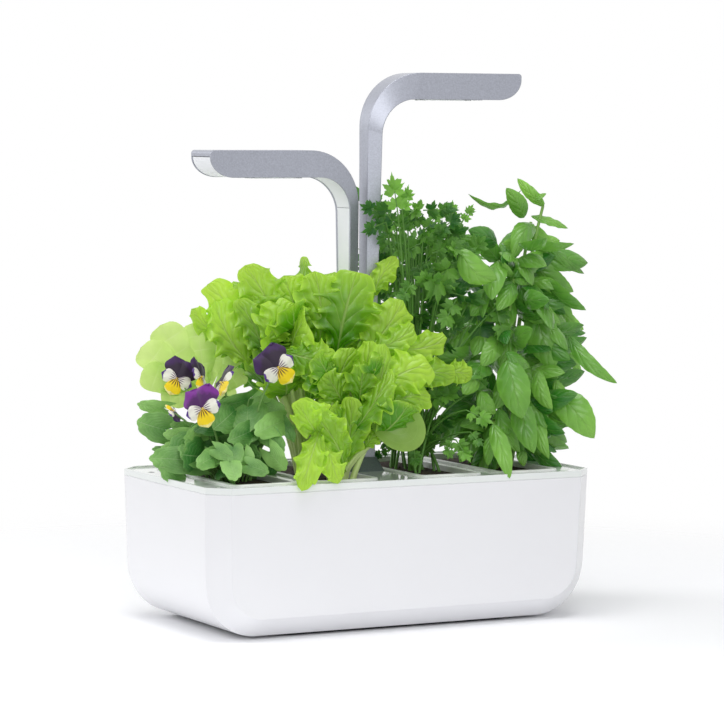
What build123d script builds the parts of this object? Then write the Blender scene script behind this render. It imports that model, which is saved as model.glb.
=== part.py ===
from build123d import *
import os
from math import cos, hypot, pi, radians, sin, tan

os.makedirs("parts", exist_ok=True)

# Indoor herb planter: a water tank, a lift-off tray with four long pots, and two lamp arms that
# slide up and down in the middle. Millimetres. X runs along the row of pots, Y to the rear, Z up,
# with the origin on the worktop under the middle of the tank.

# Whole planter
length = 330.0
depth = 174.0
side_draft = 1.6
front_draft = 1.85
overrun = 10.0
joint_gap = 0.3

# Tank
foot_height = 2.5
tank_height = 108.2
tank_wall = 3.0
tank_floor = 3.0
lower_radius = 41.5
edge_chamfer = 14.5
seam_bevel = 0.4

# Rubber foot ring
foot_inset_x = 52.0
foot_inset_y = 25.0
foot_corner = 24.0
foot_width = 9.0
foot_recess = 1.0
foot_bevel = 0.8

# Tray cover
cover_band = 5.1
lip_width = 1.8
sunk_depth = 1.2
plate_thickness = 2.4
skirt_gap = 0.6
skirt_thickness = 1.8
skirt_depth = 6.0
collar_depth = 8.0
collar_wall = 1.6
drain_radius = 1.3
drain_inset_x = 14.0
drain_inset_y = 21.0

# Pots, two each side of the mast
pot_width = 56.0
pot_end_gap = 16.0
pot_corner = 8.0
pot_pair_gap = 12.0
pot_middle_gap = 34.0
pot_depth = 46.0
pot_wall = 1.6
pot_taper = 2.5
pot_rim = 1.4
rim_overlap = 3.0
pot_clearance = 0.6
rim_bevel = 0.5
soil_drop = 4.0
wick_width = 22.0
wick_thickness = 2.4
wick_lift = 2.0

# Mast guide under the tray, with one blind channel for each column
guide_low = 27.0
guide_wall = 1.6
guide_flange = 1.5
flange_reach = 0.8
channel_half_depth = 8.6

# Mast foot
mast_foot_height = 10.2
mast_foot_base_x = 32.0
mast_foot_base_y = 32.0
mast_foot_top_x = 25.6
mast_foot_top_y = 17.6
mast_foot_rounding = 1.5

# Lamp arms: side view
arm_low_top = 361.9
arm_travel = 60.0
arm_reach = 134.8
back_gap = 7.6
bend_outer_radius = 44.0
bend_inner_radius = 27.0
bend_steps = 6
head_square_run = 3.0
head_height = 20.6
column_top_thickness = 10.0
column_low_thickness = 8.0
column_taper = 188.0
column_length = 306.0
tip_run = 20.0
nose_height = 4.8
nose_radius = 2.6
quarter_turn = 90.0

# Lamp arms: half widths of the outer and inner faces
tip_half_outer = 17.6
tip_half_inner = 17.4
bend_half_outer = 12.4
bend_half_inner = 15.4
column_half_outer = 6.9
column_half_inner = 12.1
runner_half_outer = 5.6
runner_half_inner = 7.1

# Lamp arms: shell, covers and light
shell_wall = 1.6
cover_recess = 0.4
cover_side_gap = 0.4
cover_thickness = 1.6
cover_seam_drop = 44.0
lens_start = 53.0
lens_end_gap = 39.8
lens_width = 22.0
lens_corner = 4.0
lens_proud = 0.7
lens_flange = 1.2
lens_flange_reach = 1.5
lens_rim_height = 3.0
board_thickness = 1.6
chip_size = 3.0
chip_height = 0.8
chip_rows = 3
chip_pitch = 7.0
cover_screw_end_gap = 29.8
cover_screw_spacing = 8.4
cover_screw_radius = 1.2
cover_screw_head = 1.9
cover_screw_head_height = 0.7
cover_screw_length = 6.0
boss_radius = 2.6
glide_clearance = 0.3
glide_tenon = 8.0

# Screws that hold the mast foot and the guide
foot_screw_x = 18.0
foot_screw_y = 25.2
foot_screw_radius = 0.9
foot_screw_bite = 2.2
foot_screw_head = 1.8
foot_screw_head_height = 1.4
screw_clearance = 0.2

# Electronics housing under the rear of the tray
box_width = 30.0
box_front = 20.0
box_end_gap = 6.6
box_height = 22.0
box_wall = 1.6
box_lid = 1.6
board_width = 24.0
board_front = 26.0
board_end_gap = 12.4
board_post = 6.0
post_radius = 2.0
lid_screw_radius = 1.1
lid_screw_head = 2.0
lid_screw_head_height = 1.2

# Power inlet in its boss, reached through a notch in the tank's rear wall
boss_width = 16.0
boss_drop = 17.0
notch_gap = 0.6
inlet_width = 9.6
inlet_height = 4.4
inlet_opening_width = 8.6
inlet_opening_height = 3.2
inlet_depth = 8.0
inlet_drop = 9.0
inlet_tongue_width = 6.4
inlet_tongue_height = 0.8

# Light button and status light behind the mast
button_radius = 4.5
button_proud = 1.8
button_travel = 1.2
button_flange = 1.0
button_clearance = 0.25
switch_size = 6.0
switch_height = 3.4
light_radius = 1.5

# Water level float at the left rear
gauge_inset_x = 13.0
gauge_inset_y = 37.0
float_width = 10.0
float_length = 30.0
float_height = 10.0
float_travel = 30.0
float_clearance = 0.5
stem_radius = 2.3
stem_hole_gap = 0.4
cage_strap = 1.6
cage_floor = 1.6
cage_width = 9.0

# Heights and places that follow from the sizes above
foot_length = length - 2 * foot_inset_x
foot_depth = depth - 2 * foot_inset_y
pot_length = depth - 2 * pot_end_gap
drain_x = length / 2 - drain_inset_x
drain_y = depth / 2 - drain_inset_y
gauge_x = gauge_inset_x - length / 2
gauge_y = depth / 2 - gauge_inset_y
box_rear = depth / 2 - box_end_gap
board_length = box_rear - board_front - board_end_gap
button_y = board_front + board_length / 3
light_y = board_front + board_length * 2 / 3
lens_length = arm_reach - lens_start - lens_end_gap
chip_columns = round(lens_length / chip_pitch) - 1
cover_screw_x = arm_reach - cover_screw_end_gap
seam_z = foot_height + tank_height
cover_top = seam_z + cover_band
plate_top = cover_top - sunk_depth
plate_low = plate_top - plate_thickness
pot_top = plate_top + pot_rim
soil_top = pot_top - soil_drop
skirt_inset = tank_wall + skirt_gap
tub_width = pot_width - 2 * rim_overlap
tub_length = pot_length - 2 * rim_overlap
tub_corner = pot_corner - rim_overlap
tub_floor_z = plate_top - pot_depth
inner_pot_x = (pot_middle_gap + pot_width) / 2
outer_pot_x = inner_pot_x + pot_width + pot_pair_gap
pot_places = {"viola": -outer_pot_x, "lettuce": -inner_pot_x, "parsley": inner_pot_x, "basil": outer_pot_x}
back_face = back_gap / 2
runner_face = back_face + column_low_thickness
channel_near = back_face - glide_clearance
channel_far = runner_face + glide_clearance
guide_half_x = channel_far + guide_wall
guide_half_y = channel_half_depth + guide_wall
mast_foot_top = plate_top + mast_foot_height
box_low = plate_low - box_height


def half_length(z):
    """Half of the planter's length at a height, less towards the worktop by the draft of its ends."""
    return length / 2 - (cover_top - z) * tan(radians(side_draft))


def half_depth(z):
    """Half of the planter's depth at a height, less towards the worktop by the draft of its front."""
    return depth / 2 - (cover_top - z) * tan(radians(front_draft))


def inset_chamfer(inset):
    """The corner chamfer of an outline that lies evenly inside the planter's own."""
    return edge_chamfer - inset * (2 - 2**0.5)


def tub_block(low, high, inset, radius):
    """The planter's form between two heights: a U across the front, drafted all round, with a wide
    chamfer along the front and the rear U."""
    with BuildPart() as block:
        with BuildSketch(Plane.XZ):
            with BuildLine():
                Polyline(
                    (inset - half_length(high), high),
                    (inset - half_length(low), low),
                    (half_length(low) - inset, low),
                    (half_length(high) - inset, high),
                    close=True,
                )
            make_face()
            fillet(vertices().group_by(Axis.Y)[0], radius)
        extrude(amount=depth, both=True)
        with BuildSketch(Plane.YZ):
            with BuildLine():
                Polyline(
                    (inset - half_depth(high), high),
                    (inset - half_depth(low), low),
                    (half_depth(low) - inset, low),
                    (half_depth(high) - inset, high),
                    close=True,
                )
            make_face()
        extrude(amount=length, both=True, mode=Mode.INTERSECT)
        front_and_rear = block.faces().sort_by(Axis.Y)
        u_edges = front_and_rear[0].edges().sort_by(Axis.Z)[:-1]
        u_edges += front_and_rear[-1].edges().sort_by(Axis.Z)[:-1]
        chamfer(u_edges, inset_chamfer(inset))
    return block.part


def rim_outline(z, inset, mode=Mode.ADD):
    """The planter's outline seen from above at a height: a rectangle with chamfered corners."""
    with BuildSketch(Plane.XY, mode=Mode.PRIVATE) as outline:
        Rectangle(2 * (half_length(z) - inset), 2 * (half_depth(z) - inset))
        chamfer(outline.vertices(), inset_chamfer(inset))
    add(outline.sketch, mode=mode)


def foot_outline(inset):
    """The loop of the rubber foot, or the same loop evenly inside its edges."""
    inner_cut = foot_width - inset
    RectangleRounded(foot_length - 2 * inset, foot_depth - 2 * inset, foot_corner - inset)
    RectangleRounded(
        foot_length - 2 * inner_cut, foot_depth - 2 * inner_cut, foot_corner - inner_cut, mode=Mode.SUBTRACT
    )


# Tank shell: one moulding, glossy white, open at the top
tank_form = tub_block(foot_height, seam_z, 0, lower_radius)
water_space = tub_block(foot_height + tank_floor, seam_z + overrun, tank_wall, lower_radius - tank_wall)
notch_low = plate_low - boss_drop - notch_gap

with BuildPart() as tank_shell:
    add(tank_form)
    chamfer(tank_shell.faces().sort_by(Axis.Z)[-1].edges(), seam_bevel)
    add(water_space, mode=Mode.SUBTRACT)
    with BuildSketch(Plane.XY.offset(foot_height)):
        foot_outline(0)
    extrude(amount=foot_recess, mode=Mode.SUBTRACT)
    with BuildSketch(Plane.XZ.offset(-box_rear)):
        with Locations((0, (notch_low + seam_z + overrun) / 2)):
            Rectangle(boss_width + 2 * notch_gap, seam_z + overrun - notch_low)
    extrude(amount=-depth / 2, mode=Mode.SUBTRACT)
tank_shell.part.label = "tank_shell"
export_step(tank_shell.part, "parts/tank_shell.step")

# Foot ring: one loop of rubber, pushed into a groove under the tank
with BuildPart() as foot_ring:
    with BuildSketch():
        foot_outline(joint_gap)
    extrude(amount=foot_height + foot_recess)
    chamfer(foot_ring.edges().group_by(Axis.Z)[0], foot_bevel)
foot_ring.part.label = "foot_ring"
export_step(foot_ring.part, "parts/foot_ring.step")

# Tray cover: a shallow white lid with a sunken top, a skirt inside the tank and a collar at each pot
opening_width = tub_width + 2 * pot_clearance
opening_length = tub_length + 2 * pot_clearance
opening_corner = tub_corner + pot_clearance
cover_hole_places = [(sx * drain_x, sy * drain_y) for sx in (-1, 1) for sy in (-1, 1) if (sx, sy) != (-1, 1)]

with BuildPart() as tray_cover:
    with BuildSketch(Plane.XY.offset(seam_z)):
        rim_outline(seam_z, 0)
    with BuildSketch(Plane.XY.offset(cover_top)):
        rim_outline(cover_top, 0)
    loft()
    chamfer(tray_cover.faces().sort_by(Axis.Z)[0].edges(), seam_bevel)
    with BuildSketch(Plane.XY.offset(cover_top)):
        rim_outline(cover_top, lip_width)
    extrude(amount=-sunk_depth, mode=Mode.SUBTRACT)
    with BuildSketch(Plane.XY.offset(seam_z)):
        rim_outline(seam_z, skirt_inset + skirt_thickness)
    extrude(amount=plate_low - seam_z, mode=Mode.SUBTRACT)
    with BuildSketch(Plane.XY.offset(seam_z)):
        rim_outline(seam_z, skirt_inset)
        rim_outline(seam_z, skirt_inset + skirt_thickness, mode=Mode.SUBTRACT)
    extrude(amount=-skirt_depth)
    with BuildSketch(Plane.XY.offset(plate_low)):
        with Locations([(x, 0) for x in pot_places.values()]):
            RectangleRounded(
                opening_width + 2 * collar_wall, opening_length + 2 * collar_wall, opening_corner + collar_wall
            )
    extrude(amount=-collar_depth)
    with BuildSketch(Plane.XY.offset(plate_top)):
        with Locations([(x, 0) for x in pot_places.values()]):
            RectangleRounded(opening_width, opening_length, opening_corner)
        Rectangle(2 * (guide_half_x + joint_gap), 2 * (guide_half_y + joint_gap))
        with Locations([(0, button_y)]):
            Circle(button_radius + button_clearance)
        with Locations([(0, light_y)]):
            Circle(light_radius + button_clearance)
        with Locations([(gauge_x, gauge_y)]):
            Circle(stem_radius + stem_hole_gap)
        with Locations(cover_hole_places):
            Circle(drain_radius)
        with GridLocations(foot_screw_x, foot_screw_y, 2, 2):
            Circle(foot_screw_radius + screw_clearance)
    extrude(amount=-(plate_thickness + collar_depth), mode=Mode.SUBTRACT)
    with BuildSketch(Plane.XZ.offset(-box_rear)):
        with Locations((0, plate_low - boss_drop / 2)):
            Rectangle(boss_width + 2 * notch_gap, boss_drop)
    extrude(amount=-(half_depth(seam_z) - skirt_inset + joint_gap - box_rear), mode=Mode.SUBTRACT)
tray_cover.part.label = "tray_cover"
export_step(tray_cover.part, "parts/tray_cover.step")

# Mast guide: a deep housing with a channel for each column and a flange that hangs it on the cover
with BuildPart() as mast_guide:
    with BuildSketch(Plane.XY.offset(guide_low)):
        Rectangle(2 * guide_half_x, 2 * guide_half_y)
    extrude(amount=plate_top - guide_low)
    with BuildSketch(Plane.XY.offset(plate_top)):
        Rectangle(2 * (guide_half_x + flange_reach), 2 * (guide_half_y + flange_reach))
    extrude(amount=guide_flange)
    with BuildSketch(Plane.XY.offset(guide_low + guide_wall)):
        with Locations([(side * (channel_near + channel_far) / 2, 0) for side in (-1, 1)]):
            Rectangle(channel_far - channel_near, 2 * channel_half_depth)
    extrude(amount=plate_top + guide_flange - guide_low, mode=Mode.SUBTRACT)
mast_guide.part.label = "mast_guide"
export_step(mast_guide.part, "parts/mast_guide.step")

# Mast foot: a flared metal collar over the guide, with a trapezoid slot for each column
with BuildPart() as mast_foot:
    with BuildSketch(Plane.XY.offset(plate_top)):
        Rectangle(mast_foot_base_x, mast_foot_base_y)
    with BuildSketch(Plane.XY.offset(mast_foot_top)):
        Rectangle(mast_foot_top_x, mast_foot_top_y)
    loft()
    fillet(mast_foot.edges().group_by(Axis.Z)[1], mast_foot_rounding)
    with BuildSketch(Plane.XY.offset(plate_top)):
        Rectangle(
            2 * (guide_half_x + flange_reach + screw_clearance),
            2 * (guide_half_y + flange_reach + screw_clearance),
        )
    extrude(amount=guide_flange + joint_gap, mode=Mode.SUBTRACT)
    with BuildSketch(Plane.XY.offset(plate_top)):
        for side in (-1, 1):
            with BuildLine():
                Polyline(
                    (side * (back_face - glide_clearance), -runner_half_outer - glide_clearance),
                    (side * (runner_face + glide_clearance), -runner_half_inner - glide_clearance),
                    (side * (runner_face + glide_clearance), runner_half_inner + glide_clearance),
                    (side * (back_face - glide_clearance), runner_half_outer + glide_clearance),
                    close=True,
                )
            make_face()
    extrude(amount=mast_foot_height + overrun, mode=Mode.SUBTRACT)
    with BuildSketch(Plane.XY.offset(plate_top)):
        with GridLocations(foot_screw_x, foot_screw_y, 2, 2):
            Circle(foot_screw_radius + screw_clearance / 2)
    extrude(amount=foot_screw_bite + joint_gap, mode=Mode.SUBTRACT)
mast_foot.part.label = "mast_foot"
export_step(mast_foot.part, "parts/mast_foot.step")

# Screws up through the cover into the mast foot
with BuildPart() as foot_screws:
    with BuildSketch(Plane.XY.offset(plate_low)):
        with GridLocations(foot_screw_x, foot_screw_y, 2, 2):
            Circle(foot_screw_head)
    extrude(amount=-foot_screw_head_height)
    with BuildSketch(Plane.XY.offset(plate_low)):
        with GridLocations(foot_screw_x, foot_screw_y, 2, 2):
            Circle(foot_screw_radius)
    extrude(amount=plate_thickness + foot_screw_bite)
foot_screws.part.label = "foot_screws"
export_step(foot_screws.part, "parts/foot_screws.step")

# Electronics housing: a box open underneath, with a boss that reaches the rear face of the tank
boss_rear = half_depth(plate_low) - joint_gap
inlet_z = plate_low - inlet_drop
box_middle_y = (box_front + box_rear) / 2
box_length = box_rear - box_front

with BuildPart() as control_box:
    with BuildSketch(Plane.XY.offset(box_low)):
        with Locations((0, box_middle_y)):
            Rectangle(box_width, box_length)
    extrude(amount=box_height)
    with BuildSketch(Plane.XZ.offset(-box_rear)):
        with Locations((0, plate_low - (boss_drop + plate_low - seam_z) / 2)):
            Rectangle(boss_width, boss_drop - plate_low + seam_z)
    extrude(amount=-(boss_rear - box_rear))
    with BuildSketch(Plane.XY.offset(box_low)):
        with Locations((0, box_middle_y)):
            Rectangle(box_width - 2 * box_wall, box_length - 2 * box_wall)
    extrude(amount=box_height - box_wall, mode=Mode.SUBTRACT)
    with BuildSketch(Plane.XZ.offset(-boss_rear)):
        with Locations((0, inlet_z)):
            RectangleRounded(inlet_width, inlet_height, inlet_height / 2 - joint_gap)
    extrude(amount=boss_rear - box_rear + box_wall, mode=Mode.SUBTRACT)
    with BuildSketch(Plane.XY.offset(plate_low)):
        with Locations((0, button_y)):
            Circle(button_radius + button_flange + button_clearance)
        with Locations((0, light_y)):
            Circle(light_radius + button_clearance)
    extrude(amount=-box_wall, mode=Mode.SUBTRACT)
control_box.part.label = "control_box"
export_step(control_box.part, "parts/control_box.step")

# Lid under the housing, with the posts that carry the board
post_places = [
    (
        side * (board_width / 2 - post_radius),
        board_front + along * board_length + post_radius * (1 - 2 * along),
    )
    for side in (-1, 1)
    for along in (0, 1)
]
with BuildPart() as control_box_lid:
    with BuildSketch(Plane.XY.offset(box_low - box_lid)):
        with Locations((0, box_middle_y)):
            Rectangle(box_width, box_length)
    extrude(amount=box_lid)
    with BuildSketch(Plane.XY.offset(box_low)):
        with Locations(post_places):
            Circle(post_radius)
    extrude(amount=board_post)
    with BuildSketch(Plane.XY.offset(box_low - box_lid)):
        with Locations(post_places):
            Circle(lid_screw_radius + screw_clearance / 2)
    extrude(amount=box_lid + board_post, mode=Mode.SUBTRACT)
control_box_lid.part.label = "control_box_lid"
export_step(control_box_lid.part, "parts/control_box_lid.step")

# Control board with the switch under the button and a lamp under the light pipe
board_low = box_low + board_post
board_top = board_low + board_thickness
with BuildPart() as control_board:
    with BuildSketch(Plane.XY.offset(board_low)):
        with Locations((0, board_front + board_length / 2)):
            Rectangle(board_width, board_length)
        with Locations(post_places):
            Circle(lid_screw_radius + screw_clearance / 2, mode=Mode.SUBTRACT)
    extrude(amount=board_thickness)
    with BuildSketch(Plane.XY.offset(board_top)):
        with Locations((0, button_y)):
            Rectangle(switch_size, switch_size)
    extrude(amount=switch_height)
    with BuildSketch(Plane.XY.offset(board_top)):
        with Locations((0, light_y)):
            Rectangle(chip_size, chip_size)
    extrude(amount=chip_height)
control_board.part.label = "control_board"
export_step(control_board.part, "parts/control_board.step")

# Screws through the lid and its posts into the board
with BuildPart() as box_screws:
    with BuildSketch(Plane.XY.offset(box_low - box_lid)):
        with Locations(post_places):
            Circle(lid_screw_head)
    extrude(amount=-lid_screw_head_height)
    with BuildSketch(Plane.XY.offset(box_low - box_lid)):
        with Locations(post_places):
            Circle(lid_screw_radius)
    extrude(amount=box_lid + board_post + board_thickness)
box_screws.part.label = "box_screws"
export_step(box_screws.part, "parts/box_screws.step")

# Power inlet: a metal shell with a flat tongue inside, set flush in the boss
with BuildPart() as power_inlet:
    with BuildSketch(Plane.XZ.offset(-boss_rear)):
        with Locations((0, inlet_z)):
            RectangleRounded(
                inlet_width - joint_gap, inlet_height - joint_gap, (inlet_height - joint_gap) / 2 - joint_gap
            )
    extrude(amount=inlet_depth)
    with BuildSketch(Plane.XZ.offset(-boss_rear)):
        with Locations((0, inlet_z)):
            RectangleRounded(inlet_opening_width, inlet_opening_height, inlet_opening_height / 2 - joint_gap)
    extrude(amount=inlet_depth - inlet_tongue_height, mode=Mode.SUBTRACT)
    with BuildSketch(Plane.XZ.offset(-(boss_rear - inlet_depth + inlet_tongue_height))):
        with Locations((0, inlet_z)):
            Rectangle(inlet_tongue_width, inlet_tongue_height)
    extrude(amount=-(inlet_depth - 2 * inlet_tongue_height))
power_inlet.part.label = "power_inlet"
export_step(power_inlet.part, "parts/power_inlet.step")

# Light button: a flanged cap in the cover, on the switch of the board
button_low = board_top + switch_height + button_travel + joint_gap
with BuildPart() as power_button:
    with BuildSketch(Plane.XY.offset(button_low)):
        with Locations((0, button_y)):
            Circle(button_radius)
    extrude(amount=plate_top + button_proud - button_low)
    chamfer(power_button.edges().group_by(Axis.Z)[-1], rim_bevel)
    with BuildSketch(Plane.XY.offset(plate_low - button_flange - joint_gap)):
        with Locations((0, button_y)):
            Circle(button_radius + button_flange)
    extrude(amount=button_flange)
power_button.part.label = "power_button"
export_step(power_button.part, "parts/power_button.step")

# Status light: a clear pipe from the board to the cover
with BuildPart() as status_light:
    with BuildSketch(Plane.XY.offset(board_top + chip_height)):
        with Locations((0, light_y)):
            Circle(light_radius)
    extrude(amount=plate_top - board_top - chip_height)
status_light.part.label = "status_light"
export_step(status_light.part, "parts/status_light.step")

# Gauge cage: two straps and a floor that hang the float's seat from the cover
float_low = plate_low - float_travel - float_height - float_clearance
cage_low = float_low - joint_gap - cage_floor
strap_offset = float_length / 2 + float_clearance + cage_strap / 2
with BuildPart() as gauge_cage:
    with BuildSketch(Plane.XY.offset(cage_low)):
        with Locations((gauge_x, gauge_y)):
            Rectangle(cage_width, 2 * strap_offset + cage_strap)
    extrude(amount=cage_floor)
    with BuildSketch(Plane.XY.offset(cage_low)):
        with Locations([(gauge_x, gauge_y + side * strap_offset) for side in (-1, 1)]):
            Rectangle(cage_width, cage_strap)
    extrude(amount=plate_low - cage_low)
gauge_cage.part.label = "gauge_cage"
export_step(gauge_cage.part, "parts/gauge_cage.step")

# Level float with the stem that shows in the cover
with BuildPart() as level_float:
    with BuildSketch(Plane.XY.offset(float_low)):
        with Locations((gauge_x, gauge_y)):
            RectangleRounded(float_width, float_length, float_width / 2 - joint_gap)
    extrude(amount=float_height)
    with BuildSketch(Plane.XY.offset(float_low + float_height)):
        with Locations((gauge_x, gauge_y)):
            Circle(stem_radius)
    extrude(amount=plate_top - float_low - float_height)
level_float.part.label = "level_float"
export_step(level_float.part, "parts/level_float.step")


# Lamp arm: a tapering shell that runs up the column, round the bend and out to a bow-shaped tip.
# Its section is a trapezoid, narrow outside and wide inside, which grows to a rectangle at the tip.
def arm_stations(top, low):
    """Sections from the foot of the column to the tip: outer point, inner point, half widths."""
    bend_foot = top - head_height - bend_inner_radius
    taper_end = bend_foot - column_taper
    runner = (runner_half_outer, runner_half_inner)
    column = [((back_face, z), (runner_face, z), *runner) for z in (low, taper_end)]
    outer_middle = (back_face + bend_outer_radius, top - bend_outer_radius)
    inner_middle = (back_face + column_top_thickness + bend_inner_radius, bend_foot)
    bend = []
    for step in range(bend_steps + 1):
        share = step / bend_steps
        angle = share * pi / 2
        outer = (
            outer_middle[0] - bend_outer_radius * cos(angle),
            outer_middle[1] + bend_outer_radius * sin(angle),
        )
        inner = (
            inner_middle[0] - bend_inner_radius * cos(angle),
            inner_middle[1] + bend_inner_radius * sin(angle),
        )
        half_outer = column_half_outer + share * (bend_half_outer - column_half_outer)
        half_inner = column_half_inner + share * (bend_half_inner - column_half_inner)
        bend.append((outer, inner, half_outer, half_inner))
    square_x = outer_middle[0] + head_square_run
    end = arm_reach + overrun
    head = [
        ((square_x, top), (square_x, top - head_height), bend_half_outer, bend_half_inner),
        ((end, top), (end, top - head_height), tip_half_outer, tip_half_inner),
    ]
    return column, bend, head


def arm_section(station, back, front, side_inset):
    """One section as a face, between two depths measured from the arm's outer face."""
    (outer_x, outer_z), (inner_x, inner_z), half_outer, half_inner = station
    thickness = hypot(inner_x - outer_x, inner_z - outer_z)
    inward = ((inner_x - outer_x) / thickness, 0, (inner_z - outer_z) / thickness)
    along = (-inward[2], 0, inward[0])
    near, far = back(thickness), front(thickness)
    near_half = half_outer + (half_inner - half_outer) * near / thickness - side_inset
    far_half = half_outer + (half_inner - half_outer) * far / thickness - side_inset
    with BuildSketch(Plane(origin=(outer_x, 0, outer_z), x_dir=inward, z_dir=along)) as section:
        with BuildLine():
            Polyline((near, -near_half), (far, -far_half), (far, far_half), (near, near_half), close=True)
        make_face()
    return section.sketch


def arm_form(top, low, back, front, side_inset):
    """The arm, or a layer of it between two depths, on the right side of the mast."""
    column, bend, head = [
        [arm_section(station, back, front, side_inset) for station in run] for run in arm_stations(top, low)
    ]
    with BuildPart() as form:
        loft([*column, bend[0]], ruled=True)
        loft(bend)
        loft([bend[-1], *head], ruled=True)
    return form.part


def tip_space(top, inset):
    """Everything behind the bow-shaped tip, as a wide block to intersect with."""
    low = top - column_length - overrun
    centre_x = arm_reach - tip_run
    nose_z = top - nose_height
    with BuildPart() as space:
        with BuildSketch(Plane.XZ):
            with BuildLine():
                curve = EllipticalCenterArc(
                    (centre_x, nose_z),
                    tip_run - inset,
                    head_height - nose_height - inset,
                    start_angle=-quarter_turn,
                    arc_size=quarter_turn,
                )
                Polyline(
                    curve @ 1,
                    (arm_reach - inset, top + overrun),
                    (0, top + overrun),
                    (0, low),
                    (centre_x, low),
                    curve @ 0,
                )
            make_face()
        extrude(amount=2 * tip_half_outer, both=True)
    return space.part


def behind_tip(form, space):
    """The part of an arm form that lies inside the tip's outline."""
    with BuildPart() as trimmed:
        add(form)
        add(space, mode=Mode.INTERSECT)
    return trimmed.part


def lamp_arm(name, top, mirrored):
    """Builds and writes the pieces of one arm; the left one is the mirror image of the right."""

    def place(piece, label):
        with BuildPart() as placed:
            if mirrored:
                mirror(piece, about=Plane.YZ)
            else:
                add(piece)
        placed.part.label = f"{name}_{label}"
        export_step(placed.part, f"parts/{name}_{label}.step")

    low = top - column_length
    seam = top - cover_seam_drop
    underside = top - head_height
    cover_back = cover_recess + cover_thickness

    # Shell: aluminium, open along the inside and at the tip, with a nose band and two screw bosses
    outer = arm_form(top, low, lambda t: 0, lambda t: t, 0)
    hollow = arm_form(top, low - overrun, lambda t: shell_wall, lambda t: t + overrun, shell_wall)
    with BuildPart() as hollow_space:
        add(hollow)
        with BuildSketch(Plane.XZ):
            with Locations((arm_reach, top)):
                Rectangle(2 * shell_wall, 2 * nose_height)
        extrude(amount=2 * tip_half_outer, both=True, mode=Mode.SUBTRACT)
        with BuildSketch(Plane.YZ.offset(arm_reach)):
            with Locations((0, top)):
                Rectangle(4 * tip_half_outer, 2 * nose_height)
        extrude(amount=2 * overrun, mode=Mode.SUBTRACT)
    with BuildPart() as shell:
        add(behind_tip(outer, tip_space(top, 0)))
        nose_edges = shell.faces().sort_by(Axis.X)[-1].edges().sort_by(Axis.Z)
        fillet(nose_edges[-1], nose_radius)
        add(hollow_space.part, mode=Mode.SUBTRACT)
        with BuildSketch(Plane.XY.offset(top - shell_wall / 2)):
            with Locations((cover_screw_x, 0)):
                with GridLocations(0, cover_screw_spacing, 1, 2):
                    Circle(boss_radius)
        extrude(amount=-(head_height - shell_wall / 2 - cover_back))
        with BuildSketch(Plane.XY.offset(underside + cover_back)):
            with Locations((cover_screw_x, 0)):
                with GridLocations(0, cover_screw_spacing, 1, 2):
                    Circle(cover_screw_radius + screw_clearance / 2)
        extrude(amount=cover_screw_length, mode=Mode.SUBTRACT)
    place(shell.part, "arm_shell")

    # Covers: a translucent skin set just inside the shell's edge, in two lengths
    side_inset = shell_wall + cover_side_gap
    skin_outer = arm_form(
        top, low, lambda t: shell_wall + cover_side_gap, lambda t: t - cover_recess, side_inset
    )
    skin_inner = arm_form(top, low - overrun, lambda t: 0, lambda t: t - cover_back, 0)
    nose_step = shell_wall + cover_side_gap - cover_recess
    with BuildPart() as skin:
        add(behind_tip(skin_outer, tip_space(top, cover_recess)))
        with BuildSketch(Plane.XZ):
            with Locations((arm_reach, top)):
                Rectangle(2 * (nose_step + cover_recess), 2 * (nose_height + cover_side_gap))
        extrude(amount=2 * tip_half_outer, both=True, mode=Mode.SUBTRACT)
        add(behind_tip(skin_inner, tip_space(top, cover_back)), mode=Mode.SUBTRACT)
    with BuildPart() as column_cover:
        add(skin.part)
        split(bisect_by=Plane.XY.offset(seam - joint_gap), keep=Keep.BOTTOM)
    place(column_cover.part, "column_cover")

    lens_middle = lens_start + lens_length / 2
    with BuildPart() as lamp_cover:
        add(skin.part)
        split(bisect_by=Plane.XY.offset(seam), keep=Keep.TOP)
        with BuildSketch(Plane.XY.offset(underside - overrun)):
            with Locations((lens_middle, 0)):
                RectangleRounded(lens_length + joint_gap, lens_width + joint_gap, lens_corner)
        extrude(amount=overrun + cover_back + joint_gap, mode=Mode.SUBTRACT)
        with BuildSketch(Plane.XY.offset(underside - overrun)):
            with Locations((cover_screw_x, 0)):
                with GridLocations(0, cover_screw_spacing, 1, 2):
                    Circle(cover_screw_radius + screw_clearance)
        extrude(amount=overrun + cover_back + joint_gap, mode=Mode.SUBTRACT)
    place(lamp_cover.part, "lamp_cover")

    with BuildPart() as cover_screws:
        with BuildSketch(Plane.XY.offset(underside + cover_recess)):
            with Locations((cover_screw_x, 0)):
                with GridLocations(0, cover_screw_spacing, 1, 2):
                    Circle(cover_screw_head)
        extrude(amount=-cover_screw_head_height)
        with BuildSketch(Plane.XY.offset(underside + cover_recess)):
            with Locations((cover_screw_x, 0)):
                with GridLocations(0, cover_screw_spacing, 1, 2):
                    Circle(cover_screw_radius)
        extrude(amount=cover_screw_length)
    place(cover_screws.part, "cover_screws")

    # Lens: a shallow tray that stands a little proud of the cover and carries the board
    with BuildPart() as lens:
        with BuildSketch(Plane.XY.offset(underside - lens_proud)):
            with Locations((lens_middle, 0)):
                RectangleRounded(lens_length - joint_gap, lens_width - joint_gap, lens_corner)
        extrude(amount=lens_proud + cover_back)
        with BuildSketch(Plane.XY.offset(underside + cover_back)):
            with Locations((lens_middle, 0)):
                RectangleRounded(
                    lens_length + 2 * lens_flange_reach, lens_width + 2 * lens_flange_reach, lens_corner
                )
        extrude(amount=lens_flange + lens_rim_height)
        with BuildSketch(Plane.XY.offset(underside + cover_back + lens_flange)):
            with Locations((lens_middle, 0)):
                RectangleRounded(lens_length, lens_width, lens_corner)
        extrude(amount=lens_rim_height, mode=Mode.SUBTRACT)
    place(lens.part, "lens")

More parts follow.
